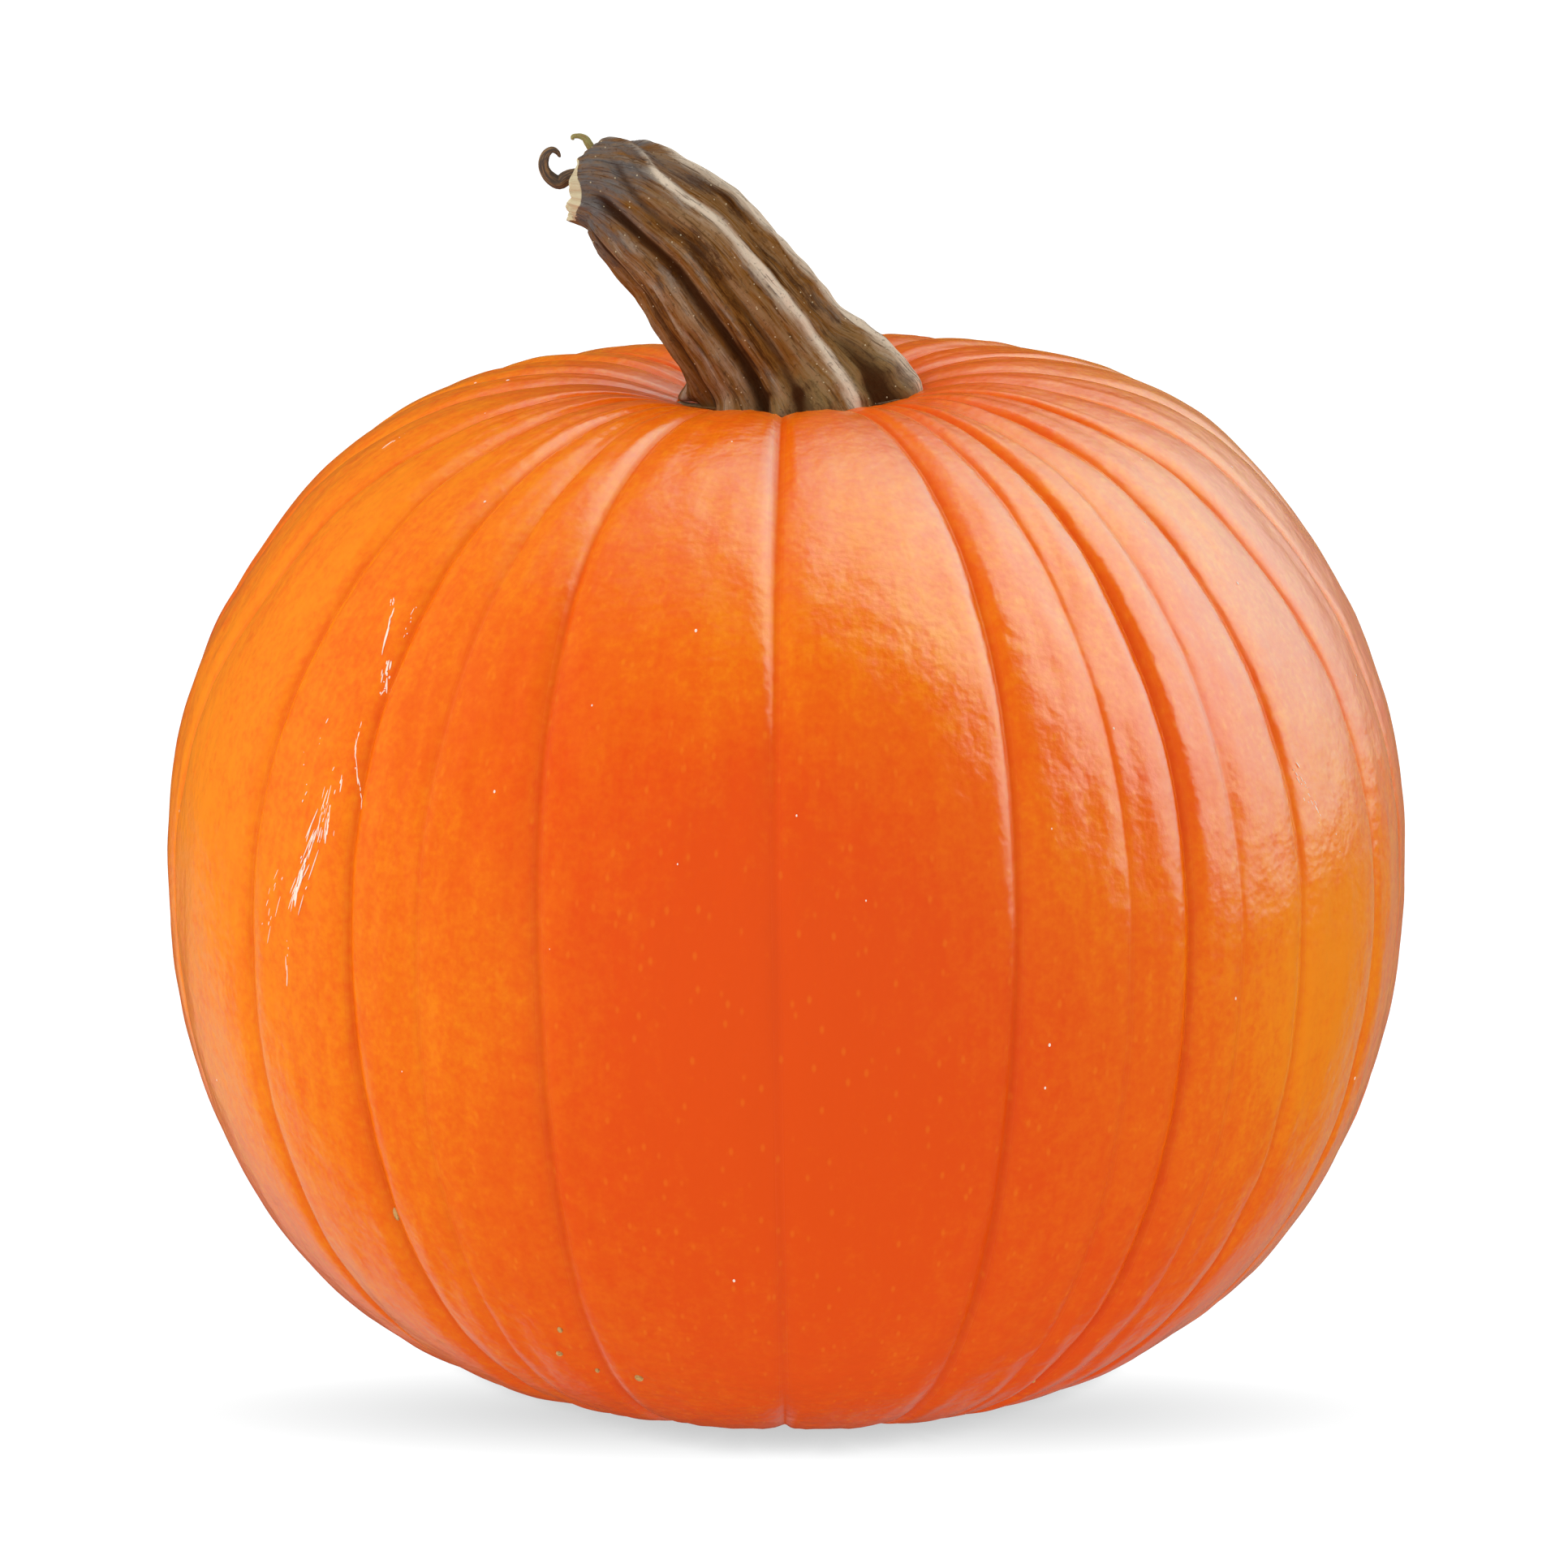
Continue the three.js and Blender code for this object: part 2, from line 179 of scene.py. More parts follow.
# Stem mesh: columns, rings, where on the centreline it starts, and how many rings its cut face takes
STEM_COLUMNS = 240
STEM_RINGS = 190
STEM_START = 0.09
CUT_RINGS = 14

# Stem furrows: degrees round it from the front towards its upper side, depth as a share of radius, width,
# then how dark the painted shade in each is along the stem and at its foot
STEM_FURROWS = (
    (-59, 0.1, 8, 0.85, 0.6),
    (-15, 0.2, 8, 1.0, 1.0),
    (10, 0.07, 6, 0.75, 1.0),
    (63, 0.15, 12, 0.4, 1.2),
    (108, 0.1, 8, 0.7, 0.8),
    (138, 0.17, 12, 0.8, 0.9),
    (171, 0.14, 12, 0.8, 0.9),
    (205, 0.18, 12, 0.9, 0.9),
    (236, 0.15, 11, 0.8, 0.9),
    (265, 0.13, 9, 0.7, 0.8),
)
# Root-like toes that spread from its ridges on to the skin: angle, reach as a share of radius, width
STEM_TOES = (
    (80, 0.11, 20),
    (24, 0.1, 14),
    (-10, 0.07, 14),
    (-42, 0.16, 13),
    (-80, 0.18, 14),
    (145, 0.14, 15),
    (222, 0.12, 15),
)
TOE_FADE = 0.13

# How the ridges turn: towards the upper side near the cut, most of all far from one still side,
# and back at the foot
CUT_TURN = 50
CUT_TURN_FROM = 0.74
CUT_TURN_LENGTH = 0.2
STILL_SIDE = -40
TURN_SPREAD = 120
FOOT_TURN = 10
FOOT_TURN_FROM = 0.1
FOOT_TURN_LENGTH = 0.25
# Where the furrows get shallower towards the cut: from, over what length and by what share
FLATTER_END = (0.84, 0.14, 0.65)

# The torn cut: how far its rim wavers, how far the pith has shrunk back, and how far, at which side
# and how widely the rim is worn back
CUT_JAG = 0.9 * MM
CUT_HOLLOW = 1.8 * MM
CUT_SLANTS = (
    (6 * MM, 110, 45),
    (1 * MM, -85, 45),
)
SLANT_FROM = 0.8
SLANT_LENGTH = 0.2
# The cream band under the rim: its length, the side where it is longest, how widely, and its least length
CREAM_EDGE = (0.05, -8, 34, 0.004)
# How deep the edge of the foot lies in the skin
FOOT_SINK = 0.8 * MM

# Finer stem relief: strands between the furrows, knots, and long drying cracks
# (a crack has its angle, start, end and depth in millimetres)
STRAND_COUNTS = (17, 29, 43, 61)
STRAND_DEPTH = 0.34 * MM
KNOT_SCALE = 1 / (5 * MM)
KNOT_DEPTH = 0.5 * MM
CRACKS = (
    (46, 0.4, 0.56, 0.6),
    (93, 0.33, 0.6, 1.0),
    (-40, 0.35, 0.62, 0.4),
    (-6, 0.3, 0.5, 0.4),
    (140, 0.3, 0.7, 0.8),
    (220, 0.25, 0.6, 0.8),
)
CRACK_WIDTH = 1.5
# Bulbs where the stem meets the skin: share along, angle, half-length, half-width and rise in millimetres,
# and how dark the painted shade in the crease over each one is
FOOT_BULBS = (
    (0.27, -42, 0.035, 12, 3.2),
    (0.34, -96, 0.019, 15, 6.5),
    (0.22, -6, 0.03, 8, 2.2),
    (0.17, 20, 0.035, 10, 2.0),
    (0.22, 150, 0.03, 14, 1.6),
)
BULB_SHADE = 0.45
# Pale crests, partly weathered wood and partly painted highlight: angle, width and strength
PALE_CRESTS_AND_HIGHLIGHTS = (
    (40.5, 4.5, 0.75),
    (33, 9, 0.32),
    (89, 12, 1.0),
    (-24, 5, 0.3),
    (-38, 6, 0.34),
    (-84, 7, 0.36),
    (0, 5, 0.28),
    (154, 12, 0.6),
    (188, 12, 0.5),
    (221, 10, 0.4),
    (251, 10, 0.5),
)

# Torn fibres that curl from the cut end: points across and over the widest ring, in millimetres,
# then the distance forward, and the thickness at the root and at the tip
HOOK_FIBRE = (
    ((-44.5, 157), (-48.6, 156.4), (-50.8, 155), (-53.3, 156.6), (-54.3, 159.1), (-53.7, 161.4),
     (-52.3, 162.5), (-51.1, 162), (-50.4, 160.8)),
    -3.2, 1.8, 0.4,
)
SHORT_FIBRE = (
    ((-42, 161), (-44, 163.8), (-45, 165.2), (-46.3, 165.8), (-47.5, 165.6), (-47.6, 164.8)),
    -3.5, 1.0, 0.45,
)
FIBRE_COLUMNS = 12
FIBRE_RINGS = 48

# Scale of the grain: round the stem, along it and over its cut, then round and along a fibre
STEM_GRAIN = (18 * MM, 90 * MM, 12 * MM)
FIBRE_GRAIN = (2 * MM, 30 * MM)

# Dry scratches: azimuth and latitude at both ends, how many flakes, then in millimetres
# the spread across, the longest flake and its half-width
SCRATCHES = (
    (-49.2, 41.2, -48.8, 40.4, 5, 0.9, 2.0, 0.13),
    (-48, 39.8, -46.8, 35.2, 7, 0.3, 6.5, 0.17),
    (-45.5, 41.2, -45, 37, 7, 0.5, 2.4, 0.13),
    (-45.5, 34, -44.6, 29.8, 16, 1.0, 4.0, 0.2),
    (-45.2, 29.8, -46, 27.4, 9, 0.6, 6.0, 0.24),
    (-46, 27.5, -45.8, 23.6, 6, 0.25, 6.5, 0.2),
    (-45.8, 23.8, -43.9, 17.8, 9, 0.2, 6.5, 0.15),
    (-46.8, 23.6, -46.6, 19, 9, 0.9, 4.0, 0.18),
    (-47.6, 18.5, -47.8, 12.5, 20, 2.2, 6.0, 0.13),
    (-47.2, 17, -47.1, 13.2, 7, 0.4, 5.5, 0.28),
    (-48.2, 14.2, -50.9, 5, 26, 2.4, 8.0, 0.13),
    (-49.3, 10.5, -50.3, 5.8, 8, 0.4, 7.0, 0.28),
    (-53, 8, -55, 1, 12, 2.4, 6.0, 0.11),
    (-51.4, 1.4, -51.7, -2.4, 6, 0.8, 4.0, 0.12),
    (-49, 26, -52, 16, 10, 5.0, 1.4, 0.12),
    (-81, 61, -80, 57, 5, 1.2, 4.0, 0.16),
    (56, 19, 61, 7, 34, 3.0, 2.2, 0.15),
)
SPECK_COUNT = 46
SPECK_RADII = (0.12 * MM, 0.3 * MM)
FLAKE_RISE = 0.12 * MM

# Corky spots: azimuth, latitude, half-length and half-width in millimetres
CORK_SPOTS = (
    (-42, -26, 1.7, 1.1),
    (-25, -38.8, 0.9, 0.6),
    (-26.5, -43.5, 0.8, 0.8),
    (-23, -47, 0.8, 0.5),
    (-17.8, -47.5, 1.3, 1.0),
    (34.8, -53.8, 0.7, 0.5),
    (118, -31, 1.5, 1.1),
    (171, -22, 1.1, 0.8),
)
SPOT_RISE = 0.55 * MM
SEED = 11

# Camera: the view that the fruit is drawn from
CAMERA_ELEVATION = 14.3
CAMERA_DISTANCE = 2590 * MM
CAMERA_LENS = 262.0
SENSOR_WIDTH = 36.0
VIEW_DROP = 15.2 * MM
VIEW_SHIFT = -0.5 * MM

# Floor: where its painted soft oval shadow lies, how far it reaches across and forwards, and how bright the
# floor is in its middle and in the open, then the reach and brightness of the tighter painted shade where the
# fruit rests
FLOOR_SIZE = 30
SHADOW_CENTRE = -40 * MM
SHADOW_SIZE = (170 * MM, 48 * MM)
SHADOW_LIGHT = (0.49, 1.16)
CONTACT_REACH = 9 * MM
CONTACT_LIGHT = (0.55, 1.3)

# Soft window on the left: azimuth and elevation, distance and size
WINDOW_AT = (-66, 47)
WINDOW_DISTANCE = 1.6
WINDOW_SIZE = 1.1
# Even fill: how much weaker it is straight up and down than level, and how much weaker above than below
FILL_DROP = 0.25
FILL_TILT = 0.12
# Bright sky in the reflections: its middle, the cosines where its edge fades, how it ends at the horizon,
# its brightest point, how fast it falls off from there, and how bright the rest of the sky is
SKY_CENTRE = (125, 35)
SKY_EDGE = (0.46, 0.66)
SKY_HORIZON = (-0.175, -0.04)
SKY_PEAK = (82, 42)
SKY_FALL = 2.5
SKY_REST = 0.04
SEEN_WHITE = 1.2
# A lift of the even fill from the left and behind: azimuth and elevation, its cosine at the edge, how much
SIDE_LIFT_AT = (-125, 12)
SIDE_LIFT_EDGE = 0.5
SIDE_LIFT = 1.0
# Smaller bright places in the reflections, for the rims and the crown: azimuth, elevation,
# how far each reaches in degrees, and brightness
BACK_GLOWS = (
    (150, 2, 28, 0.4),
    (-141, -34, 27, 0.7),
    (156, -33, 22, 0.4),
    (175, 78, 40, 2.2),
)


def srgb(red, green, blue):
    """A screen colour of 0 to 255 as linear light."""
    return tuple(
        value / 12.92 if value <= 0.04045 else ((value + 0.055) / 1.055) ** 2.4
        for value in (red / 255, green / 255, blue / 255)
    )


def colour_property(name, description, red, green, blue):
    return bpy.props.FloatVectorProperty(
        name=name, description=description, subtype="COLOR", size=3, min=0, max=1,
        default=srgb(red, green, blue),
    )


def length_property(name, description, default):
    return bpy.props.FloatProperty(
        name=name, description=description, default=default, min=0, unit="LENGTH", precision=4,
    )


class FruitSettings(bpy.types.PropertyGroup):
    """Sizes and skin colours of the fruit."""

    radius: length_property("Radius", "Radius of the bare profile at its widest ring", 140.2 * MM)
    crown_height: length_property("Crown", "Height of the profile over its widest ring", 115.5 * MM)
    base_depth: length_property("Base", "Depth of the profile below its widest ring", 123.5 * MM)
    well_depth: length_property("Well", "Depth of the hollow round the stem", 16 * MM)
    widest_height: length_property("Widest ring", "Height of the widest ring over the surface", 120.4 * MM)
    deep: colour_property("Deep orange", "Reddest part of the skin", 236, 78, 0)
    middle: colour_property("Orange", "Most of the skin", 242, 104, 0)
    ripe: colour_property("Yellow orange", "Yellowest part of the skin", 249, 137, 0)
    # Painted shade laid along the rib grooves
    crease_shade: colour_property("Crease", "Bottom of the rib grooves", 214, 62, 0)
    lenticel: colour_property("Lenticels", "Fine pale dots and streaks", 255, 160, 30)
    scar: colour_property("Blossom scar", "Dry button underneath", 142, 104, 62)
    roughness: bpy.props.FloatProperty(
        name="Roughness", description="How dull the waxy skin is", default=0.25, min=0, max=1,
        subtype="FACTOR",
    )


class StemSettings(bpy.types.PropertyGroup):
    """Size and colours of the stem and its torn fibres."""

    girth: bpy.props.FloatProperty(
        name="Girth", description="Thickness of the stem, as a share of its grown size",
        default=1, min=0.5, max=1.5, subtype="FACTOR",
    )
    bark: colour_property("Bark", "Golden brown of its sides", 132, 86, 36)
    tan: colour_property("Tan", "Lighter brown strands", 152, 118, 82)
    # Painted shade in the furrows and cracks takes this colour, as do dark strands and blotches
    furrow: colour_property("Furrow", "Bottom of the furrows", 60, 32, 14)
    # Pale weathered wood, also the colour of the painted highlights on the ridges
    crest_and_highlight: colour_property("Crest", "Pale weathered ridges", 232, 214, 190)
    ash: colour_property("Ash", "Blue-grey stain near the cut", 112, 107, 104)
    moss: colour_property("Foot", "Olive tan where it meets the skin", 142, 118, 78)
    wood: colour_property("Cut wood", "Torn wood at the cut end", 226, 210, 172)
    dark_fibre: colour_property("Dark fibre", "The hooked fibre", 84, 72, 64)
    green_fibre: colour_property("Green fibre", "The short fibre", 158, 150, 96)


class MarkSettings(bpy.types.PropertyGroup):
    """Colours of the scratches and corky spots."""

    flake: colour_property("Scratches", "Dry, lifted skin", 255, 232, 214)
    cork: colour_property("Cork", "Corky spots", 206, 158, 98)


class StageSettings(bpy.types.PropertyGroup):
    """Floor and daylight."""

    floor: colour_property("Floor", "Colour of the floor", 255, 255, 255)
    daylight: colour_property("Daylight", "Colour of the bright sky that the skin reflects", 160, 255, 255)
    sky_strength: bpy.props.FloatProperty(
        name="Sky", description="Brightest light that the skin reflects", default=16.5, min=0,
    )
    fill_strength: bpy.props.FloatProperty(
        name="Fill", description="Even light, strongest at the horizon", default=1.31, min=0,
    )
    window_power: bpy.props.FloatProperty(
        name="Window", description="Power of the soft light on the left, in watts", default=5.3, min=0,
    )


def bell(distance, width):
    return np.exp(-((distance / width) ** 2))


def smooth(share):
    share = np.clip(share, 0, 1)
    return share * share * (3 - 2 * share)


def turn_between(a, b):
    return (a - b + 180) % 360 - 180


def ripple(angle, counts, drift, seed):
    """An uneven wave round a circle: sines of whole counts with drifting phases, between about -1 and 1."""
    draw = random.Random(seed)
    total = np.zeros_like(angle)
    for count in counts:
        phase = draw.uniform(0, 2 * math.pi)
        sway = draw.uniform(2, 5)
        lean = draw.uniform(0, 2 * math.pi)
        total += np.sin(count * np.radians(angle) + phase + 1.5 * np.sin(sway * drift + lean))
    return total / math.sqrt(len(counts)) / 1.4


def noise_at(points, scale):
    """Smooth noise between -1 and 1 at each point."""
    return np.array([noise.noise(Vector(point) * scale) for point in points])


def profile_at(fruit, latitude):
    """Radius, and height over the widest ring, of the bare profile at latitudes in radians."""
    rise = np.sin(latitude)
    radius = fruit.radius * np.maximum(np.cos(latitude), 0) ** SIDE_FULLNESS
    crown = fruit.crown_height * np.maximum(rise, 0) ** CROWN_ROUNDING
    crown -= fruit.well_depth * bell(radius, WELL_RADIUS)
    base = DIMPLE_DEPTH * bell(radius, DIMPLE_RADIUS)
    base -= fruit.base_depth * np.maximum(-rise, 0) ** BASE_ROUNDING
    return radius, np.where(rise > 0, crown, base)


def profile_normal(fruit, latitude):
    """Outward direction of the profile: along its radius and its height."""
    step = 0.002
    low_radius, low_height = profile_at(fruit, np.maximum(latitude - step, -math.pi / 2))
    high_radius, high_height = profile_at(fruit, np.minimum(latitude + step, math.pi / 2))
    across = high_radius - low_radius
    up = high_height - low_height
    length = np.hypot(across, up)
    return up / length, -across / length


def ring_latitudes(fruit):
    """Latitudes of the rings and both poles, evenly apart along the profile but closer at its ends."""
    samples = np.linspace(-math.pi / 2, math.pi / 2, 4001)
    radius, height = profile_at(fruit, samples)
    steps = np.hypot(np.diff(radius), np.diff(height))
    plain = np.concatenate([[0], np.cumsum(steps)])
    weighted = np.concatenate([[0], np.cumsum(steps * (1 + END_CROWDING * bell(radius[1:], END_REACH)))])
    latitudes = np.interp(np.linspace(0, weighted[-1], FRUIT_RINGS + 2), weighted, samples)
    return latitudes, np.interp(latitudes, samples, plain)


def groove_azimuths(latitude):
    """Azimuth of every groove, a row to a latitude."""
    rise = np.sin(latitude)[:, None]
    return GROOVES[:, 0] + GROOVES[:, 1] * rise + GROOVES[:, 2] * rise**2


def groove_depths(latitude):
    """Depth of every groove, a row to a latitude."""
    rise = np.sin(latitude)[:, None]
    end = np.where(rise > 0, GROOVES[:, 3], GROOVES[:, 5])
    return (GROOVES[:, 4] + (end - GROOVES[:, 4]) * rise**2) * MM


def skin_at(fruit, latitude, azimuth):
    """Skin points at latitudes in radians and azimuths in degrees, and how deep in a painted-shade groove
    line each one is.
    """
    lines = groove_azimuths(latitude)
    depths = groove_depths(latitude)
    row = np.arange(len(latitude))
    past = (azimuth[:, None] - lines) % 360
    left = past.argmin(axis=1)
    right = (left + 1) % len(GROOVES)
    turn = (lines[row, right] - lines[row, left]) % 360
    share = past[row, left] / turn
    radius, height = profile_at(fruit, latitude)
    normal_out, normal_up = profile_normal(fruit, latitude)
    width = radius * np.radians(turn)
    left_depth = depths[row, left]
    right_depth = depths[row, right]
    broad = left_depth + (right_depth - left_depth) * smooth(share)
    sink = (1 - CREASE_SHARE) * broad * np.abs(2 * share - 1) ** LOBE_POWER
    crease_shade = 0
    for depth, distance in ((left_depth, share * width), (right_depth, (1 - share) * width)):
        sink = sink + depth * CREASE_SHARE * np.exp(-np.hypot(distance, CREASE_ROUNDING) / CREASE_WIDTH)
        # Nearness to a groove line, for the painted shade and the duller wax there
        crease_shade = crease_shade + depth / (2 * MM) * bell(distance, LINE_WIDTH)
    pleats = np.where(latitude > 0, bell(radius - PLEAT_REACH[0], PLEAT_REACH[1]), 0)
    sink = sink + PLEAT_DEPTH * pleats * ripple(azimuth, PLEAT_COUNTS, latitude, SEED)
    sink = sink + FLANK_DEPTH * ripple(azimuth, FLANK_COUNTS, 3 * latitude, SEED + 1)
    sink = sink * (1 - bell(radius, np.where(latitude > 0, RIB_FADE_TOP, RIB_FADE_BASE)))
    sink = sink * (1 - np.where(latitude > 0, RIM_CALM[1] * bell(radius, RIM_CALM[0]), 0))
    for swell_azimuth, swell_latitude, swell_width, swell_height, rise in SWELLS:
        sink = sink - rise * MM * (
            bell(turn_between(azimuth, swell_azimuth), swell_width)
            * bell(np.degrees(latitude) - swell_latitude, swell_height)
        )
    out = radius - normal_out * sink
    up = fruit.widest_height + height - normal_up * sink
    angle = np.radians(azimuth)
    points = np.stack([out * np.sin(angle), -out * np.cos(angle), np.maximum(up, 0)], axis=1)
    return points, np.clip(crease_shade, 0, 1)


def skin_frame(fruit, azimuth, latitude):
    """A skin point with its outward, eastward and upward directions, for marks that lie on the skin."""
    step = 0.4
    latitudes = np.radians(np.array([latitude, latitude, latitude + step]))
    azimuths = np.array([azimuth, azimuth + step, azimuth], float)
    (here, east, above), _ = skin_at(fruit, latitudes, azimuths)
    east = Vector(east - here).normalized()
    above = Vector(above - here).normalized()
    out = east.cross(above).normalized()
    return Vector(here), out, east, out.cross(east)


def deselect_all():
    if bpy.context.object and bpy.context.object.mode != "OBJECT":
        bpy.ops.object.mode_set(mode="OBJECT")
    bpy.ops.object.select_all(action="DESELECT")


def rolled_skin(name, columns, rings, place):
    """Rolls a grid into a closed skin. place(ring, column) gives its points and the values kept on them.

    Ring 0 and ring rings + 1 are its two ends, each drawn together in one point.
    """
    deselect_all()
    bpy.ops.mesh.primitive_grid_add(x_subdivisions=columns, y_subdivisions=rings + 1, size=2)
    skin = bpy.context.object
    skin.name = name
    skin.data.name = name
    points = np.zeros(len(skin.data.vertices) * 3)
    skin.data.vertices.foreach_get("co", points)
    across, up, _ = points.reshape(-1, 3).T
    ring = np.rint((up + 1) / 2 * (rings + 1)).astype(int)
    column = np.rint((across + 1) / 2 * columns).astype(int) % columns
    column[(ring == 0) | (ring == rings + 1)] = 0
    points, kept = place(ring, column)
    skin.data.vertices.foreach_set("co", points.ravel())
    for label, values in kept.items():
        store(skin.data, label, values)
    skin.data.update()
    bpy.ops.object.mode_set(mode="EDIT")
    bpy.ops.mesh.select_all(action="SELECT")
    bpy.ops.mesh.remove_doubles(threshold=SEAM_GAP)
    bpy.ops.object.mode_set(mode="OBJECT")
    bpy.ops.object.shade_smooth()
    return skin


def store(mesh, name, values):
    """Keeps a number or a vector on every vertex, for the material to read."""
    kind, field = ("FLOAT", "value") if values.ndim == 1 else ("FLOAT_VECTOR", "vector")
    attribute = mesh.attributes.new(name, kind, "POINT")
    attribute.data.foreach_set(field, values.astype(np.float32).ravel())


class Finish:
    """Short-hand for the nodes of one material."""

    def __init__(self, name):
        self.material = bpy.data.materials.new(name)
        self.material.use_nodes = True
        self.nodes = self.material.node_tree.nodes
        self.links = self.material.node_tree.links
        self.shader = self.nodes["Principled BSDF"]
        self.position = self.nodes.new("ShaderNodeTexCoord").outputs["Object"]

    def feed(self, socket, value):
        if isinstance(value, bpy.types.NodeSocket):
            self.links.new(value, socket)
        else:
            socket.default_value = value

    def stored(self, name, field="Fac"):
        node = self.nodes.new("ShaderNodeAttribute")
        node.attribute_name = name
        return node.outputs[field]

    def stretched(self, vector, scale):
        node = self.nodes.new("ShaderNodeMapping")
        self.links.new(vector, node.inputs["Vector"])
        node.inputs["Scale"].default_value = scale
        return node.outputs["Vector"]

    def noise(self, vector, size, detail=3.0, roughness=0.55):
        """Noise between 0 and 1 whose features are about that size in metres."""
        node = self.nodes.new("ShaderNodeTexNoise")
        self.links.new(vector, node.inputs["Vector"])
        node.inputs["Scale"].default_value = 1 / size
        node.inputs["Detail"].default_value = detail
        node.inputs["Roughness"].default_value = roughness
        return node.outputs["Fac"]

    def cells(self, vector, size):
        """Distance to the middle of the nearest of many scattered dots, in shares of their spacing."""
        node = self.nodes.new("ShaderNodeTexVoronoi")
        self.links.new(vector, node.inputs["Vector"])
        node.inputs["Scale"].default_value = 1 / size
        return node.outputs["Distance"]

    def fit(self, value, low, high, to_low=0.0, to_high=1.0):
        node = self.nodes.new("ShaderNodeMapRange")
        node.interpolation_type = "SMOOTHSTEP"
        self.links.new(value, node.inputs["Value"])
        node.inputs["From Min"].default_value = low
        node.inputs["From Max"].default_value = high
        node.inputs["To Min"].default_value = to_low
        node.inputs["To Max"].default_value = to_high
        return node.outputs["Result"]

    def math(self, operation, first, second, clamp=False):
        node = self.nodes.new("ShaderNodeMath")
        node.operation = operation
        node.use_clamp = clamp
        self.feed(node.inputs[0], first)
        self.feed(node.inputs[1], second)
        return node.outputs["Value"]

    def swing(self, value, amount):
        """How far a noise is over or under its middle, times an amount."""
        return self.math("MULTIPLY", self.math("SUBTRACT", value, 0.5), amount)

    def mix(self, share, first, second):
        """Blends two colours, each a colour or the result of an earlier blend."""
        node = self.nodes.new("ShaderNodeMix")
        node.data_type = "RGBA"
        self.feed(node.inputs["Factor"], share)
        for socket, value in ((node.inputs["A"], first), (node.inputs["B"], second)):
            sockets = [s for s in node.inputs if s.name == socket.name and s.type == "RGBA"]
            self.feed(sockets[0], value if isinstance(value, bpy.types.NodeSocket) else (*value, 1))
        return next(s for s in node.outputs if s.type == "RGBA")

    def bump(self, height, distance):
        node = self.nodes.new("ShaderNodeBump")
        node.inputs["Strength"].default_value = 1
        node.inputs["Distance"].default_value = distance
        self.links.new(height, node.inputs["Height"])
        self.links.new(node.outputs["Normal"], self.shader.inputs["Normal"])

    def set(self, socket, value):
        self.feed(self.shader.inputs[socket], value)


def skin_finish(fruit):
    """Waxy orange skin: riper and deeper patches, streaks along the ribs, pale lenticels, painted shade along
    the groove lines and low bumps.
    """
    skin = Finish("ripe_skin")
    flow = skin.stored("flow", "Vector")
    streaks = skin.noise(skin.stretched(flow, (1, 1, 0.14)), 3.2 * MM, 4)
    mottle = skin.noise(skin.position, 7 * MM, 6, 0.78)
    grain = skin.noise(skin.position, 1.6 * MM, 3)
    clouds = skin.noise(skin.stretched(flow, (1, 1, 0.45)), 34 * MM, 3)
    uneven = skin.math("ADD", skin.math("MULTIPLY", streaks, 0.35), skin.math("MULTIPLY", mottle, 0.75))
    uneven = skin.math("ADD", uneven, skin.math("MULTIPLY", clouds, 0.35))
    uneven = skin.math("ADD", uneven, skin.math("MULTIPLY", grain, 0.5))
    uneven = skin.math("MULTIPLY", skin.math("SUBTRACT", uneven, 0.975), UNEVENNESS)
    ripeness = skin.math("ADD", skin.stored("ripe"), uneven)
    colour = skin.mix(skin.fit(ripeness, -0.15, 0.65), tuple(fruit.deep), tuple(fruit.middle))
    colour = skin.mix(skin.fit(ripeness, 0.4, 1.15), colour, tuple(fruit.ripe))
    dots = skin.cells(skin.stretched(flow, (1, 1, 0.55)), 3.4 * MM)
    dots = skin.fit(dots, 0.06, 0.22, 0.16, 0)
    colour = skin.mix(dots, colour, tuple(fruit.lenticel))
    crease_shade = skin.stored("crease_shade")
    # Painted shade: the groove lines are darkened towards a redder orange
    colour = skin.mix(skin.math("MULTIPLY", crease_shade, 0.35), colour, tuple(fruit.crease_shade))
    scar_edge = skin.math("ADD", skin.stored("scar"), skin.math("MULTIPLY", mottle, 0.3))
    scarred = skin.fit(scar_edge, 0.55, 0.75)
    colour = skin.mix(scarred, colour, tuple(fruit.scar))
    skin.set("Base Color", colour)
    dull = skin.math("ADD", fruit.roughness, skin.math("MULTIPLY", crease_shade, 0.12))
    dull = skin.math("ADD", dull, skin.math("MULTIPLY", scarred, 0.4), clamp=True)
    skin.set("Roughness", dull)
    skin.set("IOR", WAX_IOR)
    skin.set("Specular IOR Level", skin.fit(crease_shade, 0, 1, 0.5, 0.25))
    pores = skin.noise(skin.position, 2.2 * MM, 3, 0.6)
    dents = skin.noise(skin.position, 5.5 * MM, 2)
    height = skin.math("ADD", skin.math("MULTIPLY", pores, 0.3), skin.math("MULTIPLY", dents, 1.3))
    height = skin.math("ADD", height, skin.math("MULTIPLY", scarred, skin.math("MULTIPLY", grain, 1.5)))
    skin.bump(height, 0.27 * MM)
    return skin.material


